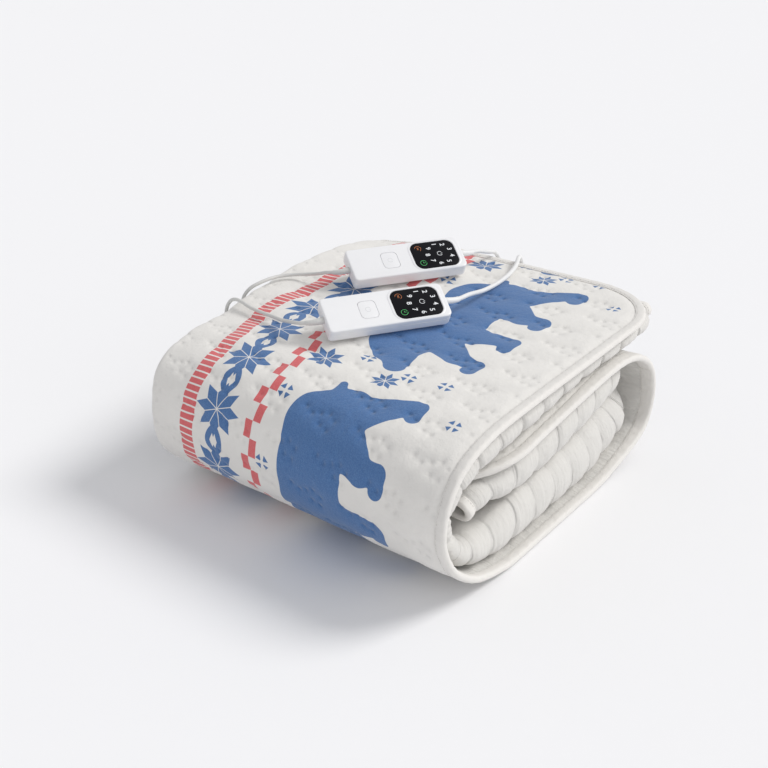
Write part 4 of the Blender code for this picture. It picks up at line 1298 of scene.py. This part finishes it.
def gather_marks(graph, across, along):
    """Gathers and row creases at the near fold and inside the bound edge, on the back cloth."""
    crease = stretched(graph, across, along, 16.0, 105.0, 3.0, 0.6)
    at_fold = graph.bell((across - (BACK_OFFSET + NEAR_FOLD_MIDDLE)) * (1 / GATHER_REACH))
    from_edge = (across - BACK_OFFSET) * (1 / GATHER_REACH)
    at_edge = graph.bell(from_edge) * graph.maths("GREATER_THAN", from_edge, 0.0)
    lap = graph.maths("FRACT", row_level(along)) - 0.5
    row_crease = graph.bell(lap * (CLUSTER_STEP / ROW_CREASE))
    broken = graph.scaled(stretched(graph, across, along, 26.0, 9.0, 1.0), 4.0, -1.25, clamp=True)
    gathers = crease * (at_fold * AT_FOLD + at_edge * AT_EDGE)
    return gathers - row_crease * at_fold * broken * AT_ROW


def cloth(name, sheen):
    """A brushed cloth's finish, and the place that its noise is read at."""
    finish = Finish(name, Sheen_Weight=sheen, Sheen_Roughness=0.5, Specular_IOR_Level=0.25)
    return finish, finish.place()


def quilted_cloth():
    finish, place = cloth("printed_quilted_cloth", 0.22)
    flat = finish.node("ShaderNodeUVMap", {"uv_map": "flat"}).outputs[0]
    split = finish.node("ShaderNodeSeparateXYZ", (), {0: flat})
    across, along = Field(finish, split.outputs[0]), Field(finish, split.outputs[1])
    blue, red = print_inks(finish, across, along)
    on_back = finish.maths("GREATER_THAN", across, BACK_OFFSET / 2)
    pits = pit_marks(finish, across, along) * (1.0 - (1.0 - BACK_SHARE) * on_back)
    loops = finish.noise(place, 900.0, 2.0, 0.6)
    warm = finish.scaled(finish.noise(place, 26.0, 3.0), 1.6, -0.3, clamp=True)
    worn = finish.scaled(finish.noise(place, 620.0, 3.0, 0.75), 2.6, -0.9, clamp=True)
    colour = finish.blend(warm, CLOTH, CLOTH_WARM)
    denim = finish.blend(worn, BLUE, BLUE_WORN)
    colour = finish.blend(blue * (0.95 + 0.05 * loops), colour, denim)
    colour = finish.blend(red * (0.88 + 0.12 * worn), colour, RED)
    # the back cloth's colour, which carries painted shade as well as its own tone
    colour = finish.blend(on_back, colour, BACK_CLOTH_WITH_PAINTED_SHADE)
    # painted shade: the colour in each quilting pit is darkened towards a near-black
    colour = finish.blend(pits * PIT_PAINTED_SHADE, colour, PAINTED_SHADE_COLOUR)
    finish.vary(Base_Color=colour, Roughness=0.82 + 0.12 * loops)
    creases = finish.noise(place, 75.0, 4.0, 0.62)
    height = loops * 0.14 + creases * 0.9 + gather_marks(finish, across, along)
    finish.relief(height - pits * (PIT_DEEP + PIT_DEEPER_IN_BLUE * blue), CLOTH_RELIEF)
    return finish.made


def plain_cloth(name, colour, crease):
    """The same off-white cloth without a print, for the binding and its thread."""
    finish, place = cloth(name, 0.2)
    weave = finish.noise(place, 1300.0, 2.0, 0.6)
    cloud = finish.noise(place, 30.0, 3.0)
    finish.vary(
        Base_Color=finish.blend(cloud, (*colour, 1.0), lighter(colour, 1.06)),
        Roughness=0.8 + 0.12 * weave,
    )
    finish.relief(weave * 0.2 + finish.noise(place, 110.0, 3.0), crease)
    return finish.made


PRINTED = quilted_cloth()
BINDING = plain_cloth("binding_cloth", (0.725, 0.705, 0.672), 0.0011)
THREAD = plain_cloth("quilting_thread", (0.62, 0.60, 0.57), 0.0003)
pad.data.materials.append(PRINTED)
print(f"the print uses {len(PRINTED.node_tree.nodes)} nodes")


# %% [markdown]
# The binding is a folded tape sewn over the pad's edge all the way round, with its two
# ends lapped on the near edge of the middle pass. It is swept here along the edge of the
# folded pad: down the near edge to the lap, round the head end, along the far edge and
# round the foot. The tape's section has a rounded outer edge and thin walls on both faces,
# and it is a little wider where the middle pass tilts it towards the near side.

# %% The edge that the binding follows
TAPE_WIDTH = 0.0130
TAPE_THICK = 0.0088
TAPE_WIDER, WIDER_AT, WIDER_REACH = 0.0070, 1.30, 0.17
EDGE_STEP = 0.0048
INNER_STEP = EDGE_FLAT * 0.6    # from an edge point to its partner inside the pad
CORNER_PLACES = 36
END_COUNTS = (80, 12, 70, 26, 80)
END_APART = 0.003               # least distance between edge points at the strip's ends
LAP_AT = 0.735
PUCKER = 0.00035


def near_point(v, inside_by):
    """A point of the near bound layer's middle, inside from its long edge."""
    return Vector(placed(v, layer_edges(v)[0] - inside_by, PAD_THICK / 2))


def far_point(v, inside_by):
    """A point of the far bound layer's middle, inside from its long edge."""
    return Vector(placed(v, layer_edges(v)[2] + inside_by, pass_depth(v) - PAD_THICK / 2))


def side_samples(point, places):
    """Edge points of one long side with their inner partners, round its corners too."""
    samples = []
    for v in places:
        inset = float(corner_inset(v))
        end = min(v, SHEET_LENGTH - v)
        inward_side, inward_end = 1.0, 0.0
        if end < CORNER_RADIUS:
            inward_side = (CORNER_RADIUS - inset) / CORNER_RADIUS
            inward_end = (CORNER_RADIUS - end) / CORNER_RADIUS
        towards = 1.0 if v < SHEET_LENGTH / 2 else -1.0
        partner = point(v + towards * inward_end * INNER_STEP, inset + inward_side * INNER_STEP)
        samples.append((point(v, inset), partner, v))
    return samples


def end_samples(v, inner_v):
    """Edge points of one end of the strip, from its near to its far side."""
    cuts = {layer: np.linspace(0, 1, count) for layer, count in zip(LAYERS, END_COUNTS)}
    lines = [placed(at, *middle_line(at, CORNER_RADIUS, cuts)[:2]) for at in (v, inner_v)]
    samples = []
    for one, two in zip(*lines):
        if not samples or np.linalg.norm(one - np.array(samples[-1][0])) > END_APART:
            samples.append((Vector(one), Vector(two), v))
    return samples[1:-1]


corner = CORNER_RADIUS * (1 - np.cos(np.linspace(0, math.pi / 2, CORNER_PLACES)))
between = np.arange(CORNER_RADIUS + EDGE_STEP, SHEET_LENGTH - CORNER_RADIUS, EDGE_STEP)
SIDE = np.concatenate([corner, between, SHEET_LENGTH - corner[::-1]])
lap = int(np.argmin(abs(SIDE - LAP_AT * SHEET_LENGTH)))
EDGE = side_samples(near_point, SIDE[: lap + 1])[::-1]
EDGE += end_samples(0.0, INNER_STEP)
EDGE += side_samples(far_point, SIDE)
EDGE += end_samples(SHEET_LENGTH, SHEET_LENGTH - INNER_STEP)[::-1]
EDGE += side_samples(near_point, SIDE[lap:])[::-1]
print(f"binding: {len(EDGE)} sections, {run_of([sample[0] for sample in EDGE])[-1]:.2f} m")


# %% The tape's section and its frames
def tape_profile(width, puff):
    """The section as (outwards from the pad's edge, across its thickness), going round."""
    tip, face, half = -(width - TAPE_WALL - TAPE_ROOM), TAPE_ROOM + TAPE_WALL, TAPE_THICK / 2 * puff
    round_by = half * 0.82
    start, inner = face - round_by, half - TAPE_WALL
    arc = np.linspace(math.pi / 2, -math.pi / 2, 11)[1:-1]
    wall = [(tip, half * 0.74), (tip * 0.80, half * 0.92), (tip * 0.45, half), (start, half)]
    nose = [(start + round_by * math.cos(a), half * math.sin(a)) for a in arc]
    other = [(out, -high) for out, high in wall[::-1]]
    hollow = [(tip, -half * 0.74 + TAPE_WALL), (0.0, -inner), (TAPE_ROOM * 0.6, 0.0), (0.0, inner)]
    return wall + nose + other + hollow + [(tip, half * 0.74 - TAPE_WALL)]


def edge_frames():
    """For each place along the binding: its point, the ways outwards and up, and its width."""
    frames = []
    for k, (edge, inner, v) in enumerate(EDGE):
        ahead = (EDGE[min(k + 1, len(EDGE) - 1)][0] - EDGE[max(k - 1, 0)][0]).normalized()
        outward_of = edge - inner
        outward_of = (outward_of - ahead * outward_of.dot(ahead)).normalized()
        near_side = k <= lap or k > len(EDGE) - len(SIDE) + lap
        wider = math.exp(-(((v - WIDER_AT) / WIDER_REACH) ** 4)) if near_side else 0.0
        frames.append((edge, outward_of, outward_of.cross(ahead), TAPE_WIDTH + TAPE_WIDER * wider))
    return frames


EDGE_FRAMES = edge_frames()
rings = []
for k, (edge, outward_of, up, width) in enumerate(EDGE_FRAMES):
    puff = 1 + PUCKER / TAPE_THICK * 2 * math.sin(k * 1.9 + 2 * math.sin(k * 0.31))
    rings.append([edge + outward_of * out + up * high for out, high in tape_profile(width, puff)])
binding = piece("edge_binding_tape", swept(rings), BINDING, 60.0)
assigned(binding, "topper", "binding_cloth", "edge_binding")
print(f"binding: {len(binding.data.polygons)} faces")


# %% [markdown]
# Stitches are the case for Geometry Nodes: one small thread shape, placed thousands of
# times along a line. The tree resamples the binding's seam at the stitch's pitch, puts a
# short spindle at every point, turns it along the seam, makes the copies real and gives
# them the thread's finish. Both faces of the binding get the same seam.

# %% A tree that lays stitches along a line of edges, one at every pitch
STITCH_SIZES = {"Stitch Length": 0.0030, "Thread Thickness": 0.0006, "Pitch": 0.0042}

tree = bpy.data.node_groups.new("seam stitches", "GeometryNodeTree")
tree.interface.new_socket("Geometry", in_out="INPUT", socket_type="NodeSocketGeometry")
for size in STITCH_SIZES:
    tree.interface.new_socket(size, in_out="INPUT", socket_type="NodeSocketFloat")
tree.interface.new_socket("Geometry", in_out="OUTPUT", socket_type="NodeSocketGeometry")
stitches = Graph(tree)


def step_of(kind, source, **values):
    """A geometry node fed by the one before it, and its first output."""
    return stitches.node(f"GeometryNode{kind}", (), {0: source, **values}).outputs[0]


given = stitches.node("NodeGroupInput").outputs
line = step_of("MeshToCurve", given["Geometry"])
even = stitches.node(
    "GeometryNodeResampleCurve", {"mode": "LENGTH"}, {0: line, "Length": given["Pitch"]}
)
tangent = stitches.node("GeometryNodeInputTangent").outputs[0]
turn = stitches.node("FunctionNodeAlignRotationToVector", {"axis": "Z"}, {"Vector": tangent})
half_long = stitches.maths("MULTIPLY", given["Stitch Length"], 0.5)
half_thick = stitches.maths("MULTIPLY", given["Thread Thickness"], 0.5)
size = stitches.node("ShaderNodeCombineXYZ", (), {0: half_thick, 1: half_thick, 2: half_long})
spindle = stitches.node("GeometryNodeMeshUVSphere", (), {"Segments": 6, "Rings": 5, "Radius": 1.0})
laid = step_of(
    "InstanceOnPoints", even.outputs[0], Instance=spindle.outputs["Mesh"],
    Rotation=turn.outputs[0], Scale=size.outputs[0],
)
real = step_of("SetShadeSmooth", step_of("RealizeInstances", laid))
stitches.node("NodeGroupOutput", (), {0: step_of("SetMaterial", real, Material=THREAD)})
print(f"the stitching tree has {len(tree.nodes)} nodes")

# %% The seam along the binding, on both of its faces
SEAM_IN = 0.0022
seam_points, seam_edges = [], []
for side in (1, -1):
    start = len(seam_points)
    for edge, outward_of, up, width in EDGE_FRAMES:
        inwards = width - TAPE_WALL - TAPE_ROOM - SEAM_IN
        seam_points.append(edge - outward_of * inwards + up * side * TAPE_THICK / 2 * 0.95)
    seam_edges += [(k, k + 1) for k in range(start, len(seam_points) - 1)]
source = added("seam_source", mesh_of("seam_line", seam_points, edges=seam_edges))
modifier = source.modifiers.new("stitches", "NODES")
modifier.node_group = tree
for socket in tree.interface.items_tree:
    if socket.name in STITCH_SIZES:
        modifier[socket.identifier] = STITCH_SIZES[socket.name]
seam = piece("binding_seam", settled(source), THREAD, 180.0)
assigned(seam, "topper", "binding_cloth")
print(f"seam: {len(seam.data.polygons)} faces")

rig.sheet(pad, flat=(FLAT_WIDTH, round(SHEET_LENGTH, 3)), held="folded", with_pieces=[binding, seam])


# %% [markdown]
# The two handsets are the same moulding: a white housing with rounded edges, a recess for
# the display, a pocket for the push button and a fine parting seam round its sides. Blocks
# with round corners are stacks of one outline, so one function makes the housing, the
# cutters for its recesses, the display and the button.

# %% Blocks as stacks of a rounded outline
HANDSET_CORNER = 0.008
END_TIGHT = 0.62                # the lead's end has tighter corners
HANDSET_RIM = 0.0030
DISPLAY = Vector((0.062, 0.0455, 0.0012))
DISPLAY_X, DISPLAY_CORNER, DISPLAY_RECESS = 0.0400, 0.0115, 0.0015
BUTTON = Vector((0.0225, 0.0270, 0.0020))
BUTTON_X, BUTTON_CORNER, BUTTON_POCKET = -0.0235, 0.0060, 0.0035
FACE = HANDSET.z / 2            # height of the handset's face over its middle
CORNER_STEPS = 10
LEAST_CORNER = 0.0002


def outline(long, wide, corner, z, tight=1.0):
    """A rounded rectangle at the height z, going round; its -x corners can be tighter."""
    points = []
    for quarter, (across, up) in enumerate(((1, 1), (-1, 1), (-1, -1), (1, -1))):
        round_by = max(corner * (tight if across < 0 else 1.0), LEAST_CORNER)
        middle = Vector((across * (long / 2 - round_by), up * (wide / 2 - round_by), z))
        for k in range(CORNER_STEPS + 1):
            angle = math.pi / 2 * (quarter + k / CORNER_STEPS)
            points.append(middle + Vector((math.cos(angle), math.sin(angle), 0)) * round_by)
    return points


def stacked(x, long, wide, corner, levels, tight=1.0):
    """A block at x whose outline is taken in by an inset at each level: (z, inset)."""
    block = swept([
        outline(long - 2 * inset, wide - 2 * inset, corner - inset, z, tight) for z, inset in levels
    ])
    block.transform(Matrix.Translation((x, 0, 0)))
    return block


def rounded_levels(low, high, round_low, round_high, steps):
    """Levels of a block with rounded lower and upper edges."""
    turns = [math.pi / 2 * k / steps for k in range(steps + 1)]
    rounds = [(1 - math.sin(turn), 1 - math.cos(turn)) for turn in turns]
    lower = [(low + round_low * rise, round_low * inset) for rise, inset in rounds]
    upper = [(high - round_high * rise, round_high * inset) for rise, inset in rounds]
    return lower[::-1] + upper


# %% [markdown]
# The housing's parting seam is a fine groove at three fifths of its height, and the
# display sits in a shallow raised frame, as an insert in the real moulding does. The groove
# is a few more levels of the stack; the frame is a low block that is joined on by a
# Boolean, before the recess and the button's pocket are cut out.

# %% Housing
SEAM_Z, SEAM_WIDE, SEAM_DEEP = 0.0022, 0.00035, 0.00030
FRAME_OUT, FRAME_HIGH, FRAME_SLOPE, FRAME_NARROWER = 0.0040, 0.00055, 0.0011, 0.0028
FRAME_ROOT = 0.0008             # how far the frame reaches into the housing
ROOM = 0.0003                   # gap round the display and the button
POCKET_CHAMFER, POCKET_FLARE = 0.0003, 0.0005


def housing_mesh():
    """The moulded housing in the handset's own frame."""
    levels = rounded_levels(-FACE, FACE, HANDSET_RIM, HANDSET_RIM * 0.72, 6)
    groove = ((-1, 0.0), (-0.5, SEAM_DEEP), (0.5, SEAM_DEEP), (1, 0.0))
    half = len(levels) // 2
    levels[half:half] = [(SEAM_Z + SEAM_WIDE * at, inset) for at, inset in groove]
    body = added("body", stacked(0.0, HANDSET.x, HANDSET.y, HANDSET_CORNER, levels, END_TIGHT))
    long, wide = DISPLAY.x + 2 * FRAME_OUT, DISPLAY.y + 2 * FRAME_OUT - FRAME_NARROWER
    raised = stacked(DISPLAY_X, long, wide, DISPLAY_CORNER + FRAME_OUT * 0.8, [
        (FACE - FRAME_ROOT, 0.0), (FACE, 0.0), (FACE + FRAME_HIGH * 0.7, FRAME_SLOPE * 0.45),
        (FACE + FRAME_HIGH, FRAME_SLOPE)])
    recess = stacked(DISPLAY_X, DISPLAY.x + 2 * ROOM, DISPLAY.y + 2 * ROOM, DISPLAY_CORNER, [
        (FACE - DISPLAY_RECESS, 0.0), (FACE, 0.0), (FACE + FRAME_HIGH * 1.2, -FRAME_SLOPE * 0.8)])
    pocket = stacked(BUTTON_X, BUTTON.x + 2 * ROOM, BUTTON.y + 2 * ROOM, BUTTON_CORNER, [
        (FACE - BUTTON_POCKET, 0.0), (FACE - POCKET_CHAMFER, 0.0),
        (FACE + POCKET_CHAMFER, -POCKET_FLARE)])
    helpers = [added("helper", mesh) for mesh in (raised, recess, pocket)]
    for helper, operation in zip(helpers, ("UNION", "DIFFERENCE", "DIFFERENCE")):
        boolean = body.modifiers.new("shape", "BOOLEAN")
        boolean.operation, boolean.solver, boolean.object = operation, "EXACT", helper
    mesh = settled(body)
    for helper in helpers:
        bpy.data.objects.remove(helper)
    return mesh


HOUSING = housing_mesh()
print(f"housing: {len(HOUSING.polygons)} faces")


# %% [markdown]
# Under the black display a ring of nine heat levels is printed, with a power sign in the
# middle, a small amber sign and a green clock beside it. The digits are text turned into a
# mesh; the signs are thin rings and bars. All of them stand a few hundredths of a
# millimetre out of the glass, which is what ink does.

# %% Marks on the display
INK_HIGH = 0.00006
INK_SUNK = 0.00003
RING_X, RING_Y, RING_RADIUS = DISPLAY_X + 0.0077, 0.0005, 0.0171
RING_FROM, RING_TURN, LEVELS = 100, 40, 9       # degrees to the first digit and between two
DIGIT_TALL = 0.0064
DIGIT_SCALE, DIGIT_HEAVIER = 1.42, 0.020
ICON_X, ICON_Y, WARM_HIGHER = DISPLAY_X - 0.0199, 0.0125, 0.0006
ICON_RADIUS, STROKE, FINE_STROKE = 0.0043, 0.0006, 0.0005
POWER_RADIUS = 0.0034
ARC_STEPS = 28
LIFTS = (Vector((0, 0, -INK_SUNK)), Vector((0, 0, INK_HIGH)))


def digit_mesh(text):
    """A character as a thin solid, upright along x and centred, read from the handset's end."""
    curve = bpy.data.curves.new("digit", "FONT")
    curve.body = text
    curve.size, curve.offset = DIGIT_TALL * DIGIT_SCALE, DIGIT_TALL * DIGIT_HEAVIER
    curve.align_x, curve.align_y = "CENTER", "CENTER"
    curve.extrude = (INK_HIGH + INK_SUNK) / 2
    curve.resolution_u = 4
    mesh = settled(added("digit", curve))
    points = np.array([v.co for v in mesh.vertices])
    middle = Vector((points.min(axis=0) + points.max(axis=0)) / 2)
    mesh.transform(Matrix.Rotation(-math.pi / 2, 4, "Z") @ Matrix.Translation(-middle))
    return mesh


def stroke_mesh(inner, outer, closed=False):
    """A thin solid between two lines of points on the glass."""
    low, high = LIFTS
    sections = [[a + low, b + low, b + high, a + high] for a, b in zip(inner, outer)]
    return swept(sections, closed)


def arc_mesh(radius, wide, start_deg, end_deg):
    """An arc of this line width round the middle."""
    angles = np.radians(np.linspace(start_deg, end_deg, ARC_STEPS))
    ways = [Vector((math.cos(angle), math.sin(angle), 0)) for angle in angles]
    inner, outer = radius - wide / 2, radius + wide / 2
    return stroke_mesh([way * inner for way in ways], [way * outer for way in ways])


def bar_mesh(start, end, wide):
    """A straight stroke from start to end."""
    ends = [Vector((*start, 0)), Vector((*end, 0))]
    side = (ends[1] - ends[0]).normalized().cross(Vector((0, 0, 1))) * wide / 2
    return stroke_mesh([p - side for p in ends], [p + side for p in ends])


def gathered(x, y, *parts):
    """One mesh of several, each (mesh, x, y), round a place on the handset's face."""
    shape = bmesh.new()
    for mesh, part_x, part_y in parts:
        mesh.transform(Matrix.Translation((x + part_x, y + part_y, FACE)))
        shape.from_mesh(mesh)
    made = bpy.data.meshes.new("marks")
    shape.to_mesh(made)
    shape.free()
    return made


def power_sign(wide):
    """A ring with its gap towards the handset's far end, and a stroke in the gap."""
    stroke = bar_mesh((POWER_RADIUS * 0.35, 0), (POWER_RADIUS * 1.15, 0), wide)
    return [(arc_mesh(POWER_RADIUS, wide, 35, 325), 0, 0), (stroke, 0, 0)]


def level_digits():
    for number in range(LEVELS):
        angle = math.radians(RING_FROM - RING_TURN * number)
        place = RING_RADIUS * math.cos(angle), RING_RADIUS * math.sin(angle)
        yield digit_mesh(str(number + 1)), *place


HEAT_LEVELS = gathered(RING_X, RING_Y, *level_digits(), *power_sign(STROKE))
CLOCK = gathered(
    ICON_X, -ICON_Y, (arc_mesh(ICON_RADIUS, STROKE, 20, 360), 0, 0),
    (bar_mesh((0, 0), (0.0026, 0), STROKE), 0, 0), (bar_mesh((0, 0), (0, 0.0022), STROKE), 0, 0),
)
WARM = gathered(
    ICON_X, ICON_Y + WARM_HIGHER, (arc_mesh(ICON_RADIUS, FINE_STROKE, -60, 170), 0, 0),
    *((bar_mesh((x, 0.0021), (x, -0.0021), STROKE), 0, 0) for x in (-0.0007, 0.0006)),
)
print("marks:", ", ".join(f"{len(mesh.polygons)} faces" for mesh in (HEAT_LEVELS, CLOCK, WARM)))


# %% [markdown]
# The display is a black glass pane with a softened edge, half a millimetre below the top
# of its frame. The button is a separate moulding that rides on its own sliding body, so
# the sign printed on it has to ride with it.

# %% Both handsets
PANE = stacked(DISPLAY_X, DISPLAY.x, DISPLAY.y, DISPLAY_CORNER,
               rounded_levels(FACE - DISPLAY.z, FACE, 0.0001, 0.0003, 3))
KEY = stacked(BUTTON_X, BUTTON.x, BUTTON.y, BUTTON_CORNER,
              rounded_levels(FACE - BUTTON.z, FACE, 0.0001, 0.0005, 4))
KEY_SIGN = gathered(BUTTON_X, 0.0, *power_sign(FINE_STROKE))
FITTINGS = read_table(
    "name mesh finish slot body smooth node",
    ("handset_housing", HOUSING, SHELL, "white_plastic", "topper", 30.0, "housing"),
    ("display_pane", PANE, GLASS, "black_display", "topper", 50.0, "display"),
    ("heat_levels", HEAT_LEVELS, MARK, "black_display", "topper", 30.0, None),
    ("timer_sign", CLOCK, GREEN, "black_display", "topper", 30.0, None),
    ("warming_sign", WARM, AMBER, "black_display", "topper", 30.0, None),
    ("button_key", KEY, SHELL, "white_plastic", "push_button", 50.0, "button"),
    ("button_sign", KEY_SIGN, FAINT, "white_plastic", "push_button", 30.0, None),
)
for name in FRAMES:
    for part in FITTINGS:
        mesh = part["mesh"].copy()
        mesh.transform(FRAMES[name])
        made = piece(f"{part['name']}_{name}", mesh, part["finish"], part["smooth"])
        body = part["body"] if part["body"] == "topper" else f"{part['body']}_{name}"
        assigned(made, body, part["slot"], *([f"{part['node']}_{name}"] if part["node"] else []))
print(f"two handsets of {len(FITTINGS)} pieces each")


# %% [markdown]
# Strain reliefs are soft collars that taper from the moulding to the cord. These have a
# collar at the root and shallow ribs, which let the real ones bend.

# %% Strain reliefs
RIB_COUNT, RIB_DEEP = 4, 0.00014
RIBS_FROM, RIBS_TO = 0.2, 0.85          # shares of the relief's length
COLLAR, TAPER = 0.12, 0.80
TIP_FROM, TIP_IN = 0.96, 0.0005
AROUND = 28
RELIEF_STEP = 0.0005


def relief_radius(share, tip):
    """The radius at this share of the way from the root to the tip."""
    taper = min(1.0, max(0.0, (share - COLLAR) / TAPER))
    wave = math.sin(math.pi * (2 * RIB_COUNT * (share - RIBS_FROM) / (RIBS_TO - RIBS_FROM)))
    rib = RIB_DEEP * max(0.0, wave) ** 0.5 if RIBS_FROM < share < RIBS_TO else 0.0
    ending = TIP_IN * max(0.0, (share - TIP_FROM) / (1 - TIP_FROM))
    return RELIEF_ROOT + (tip - RELIEF_ROOT) * taper - rib - ending


def relief_piece(name, points, diameter, finish):
    """A round ribbed collar along the points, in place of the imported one."""
    fine = smooth_path(points, RELIEF_STEP)
    rings = []
    for k, point in enumerate(fine):
        ahead = Vector(fine[min(k + 1, len(fine) - 1)] - fine[max(k - 1, 0)]).normalized()
        side = ahead.cross(Vector((0.13, 0.21, 0.97))).normalized()
        over = side.cross(ahead)
        radius = relief_radius(k / (len(fine) - 1), diameter / 2 + RELIEF_SPARE)
        turns = [2 * math.pi * j / AROUND for j in range(AROUND)]
        ways = [side * math.cos(turn) + over * math.sin(turn) for turn in turns]
        rings.append([Vector(point) + way * radius for way in ways])
    assigned(piece(f"{name}_ribbed", swept(rings), finish, 50.0), "topper", "cord_jacket", name)


def line_through(node, axis, way):
    """The middle line of a straight piece along one axis, from its start."""
    low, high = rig.box(node)
    start, end = (low + high) / 2, (low + high) / 2
    start[axis], end[axis] = (low[axis], high[axis]) if way > 0 else (high[axis], low[axis])
    return [start.lerp(end, k / 4) for k in range(5)]


for row in RELIEFS:
    finish = LEAD_JACKET if row["side"] < 0 else JACKET
    relief_piece(f"{row['name']}_relief", RELIEF_LINES[row["name"]], row["diameter"], finish)
for name, (_, _, way, _) in COILS.items():
    for node, axis, heading, diameter, finish in (
        (f"lead_{name}_socket_relief", 2, -1, LEAD_DIAMETER, LEAD_JACKET),
        (f"plug_relief_{name}", 0, way, MAINS_DIAMETER, JACKET),
    ):
        relief_piece(node, line_through(node, axis, heading), diameter, finish)
print("eight strain reliefs")


# %% [markdown]
# The plugs, their pins, the sockets and the straps round the coils are simple mouldings, so
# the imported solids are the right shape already. A copy of each has its flat triangles
# merged, and the straps and pins get rounded edges too, which is all that they need.

# %% Small mouldings
MERGE_WITHIN = 0.000005
FLAT_WITHIN, EDGE_OVER = math.radians(1.5), math.radians(40)


def merge_flat(shape):
    """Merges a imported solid's doubled points and its flat triangles."""
    bmesh.ops.remove_doubles(shape, verts=shape.verts[:], dist=MERGE_WITHIN)
    verts, edges = shape.verts[:], shape.edges[:]
    bmesh.ops.dissolve_limit(shape, angle_limit=FLAT_WITHIN, verts=verts, edges=edges)


def refined(node, ending, finish, slot, rounding=0.0):
    """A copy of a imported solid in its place, with its edges rounded by this much."""
    source = added("source", edited(frame["nodes"][node].data.copy(), merge_flat))
    if rounding:
        soft = source.modifiers.new("rounding", "BEVEL")
        soft.width, soft.segments = rounding, 2
        soft.limit_method, soft.angle_limit = "ANGLE", EDGE_OVER
    assigned(piece(f"{node}_{ending}", settled(source), finish, 42.0), "topper", slot, node)


for name in FRAMES:
    refined(f"lead_{name}_socket", "moulding", SHELL, "white_plastic")
    refined(f"mains_tie_{name}", "strap", JACKET, "cord_jacket", 0.0002)
    refined(f"plug_{name}", "moulding", SHELL, "white_plastic")
    for side in ("a", "b"):
        refined(f"plug_pin_{name}_{side}", "plated", PLATED, "plug_pin", 0.0005)
print("small mouldings ready")


# %% [markdown]
# A simulation can let the cords hang, so each is stated with its real length, its thickness
# and what travels with it: the collar at the far end, and on a mains cord the strap and plug.

# %% What the cords are
LEAD = {"length": 0.36, "far_end": "object", "stiffness": "limp", "lay": "loose"}
MAINS = {"length": 1.70, "far_end": "plug", "stiffness": "medium", "lay": "coiled"}
ON_LEAD = "lead_{0}_socket_relief_ribbed"
ON_MAINS = (
    "mains_tie_{0}_strap plug_relief_{0}_ribbed plug_{0}_moulding "
    "plug_pin_{0}_a_plated plug_pin_{0}_b_plated"
)
for row in RELIEFS:
    kind, travels = (LEAD, ON_LEAD) if row["side"] < 0 else (MAINS, ON_MAINS)
    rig.cord(
        CORDS[row["name"]], exit=RELIEF_LINES[row["name"]][-1], diameter=row["diameter"],
        with_pieces=travels.format(row["handset"]).split(), **kind,
    )
print("cords stated:", ", ".join(CORDS))


# %% [markdown]
# The stage is a plain pale floor under soft studio light: a large warm-neutral lamp from
# the right and behind, which lays the shadow down to the front left, a weak low one that
# reaches in between the folds of the near edge, and a pale world that fills both in.

# %% Floor and light
FLOOR_HALF = 14.0
FLOOR_TONE = (0.885, 0.885, 0.895, 1.0)
WORLD_TONE, WORLD_STRENGTH = (0.965, 0.972, 1.0, 1.0), 0.612

corners = [(x * FLOOR_HALF, y * FLOOR_HALF, 0) for x, y in ((-1, -1), (1, -1), (1, 1), (-1, 1))]
pale = Finish("pale_floor", Base_Color=FLOOR_TONE, Roughness=0.9, Specular_IOR_Level=0.1)
floor = added("floor", mesh_of("floor", corners, [(0, 1, 2, 3)]))
floor.data.materials.append(pale.made)
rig.stage(floor)

world = bpy.data.worlds.new("studio")
bpy.context.scene.world = world
world.use_nodes = True
sky = world.node_tree.nodes["Background"]
sky.inputs["Color"].default_value = WORLD_TONE
sky.inputs["Strength"].default_value = WORLD_STRENGTH

for name, towards, strength, softness_deg, colour in (
    ("key", (-0.57, -0.56, -0.78), 1.82, 24.0, (1.0, 0.988, 0.968)),
    ("fill", (-0.80, 0.55, -0.20), 0.45, 60.0, (0.99, 0.99, 1.0)),
):
    lamp = bpy.data.lights.new(name, "SUN")
    lamp.energy, lamp.angle, lamp.color = strength, math.radians(softness_deg), colour
    added(name, lamp).rotation_euler = Vector(towards).to_track_quat("-Z", "Y").to_euler()
print("floor, world and two lamps")


# %% [markdown]
# Last, the box of the finished model is written beside the frame's own box, so that the two
# can be compared: cloth may stand a little proud of the solids, and nothing more.

# %% The finished size
bpy.context.view_layer.update()
boxes = {"cad": CAD_BOX, "visual": [list(map(float, corner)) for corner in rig.bounds()]}
with open("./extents.json", "w") as size_file:
    json.dump(boxes, size_file)
print(boxes)
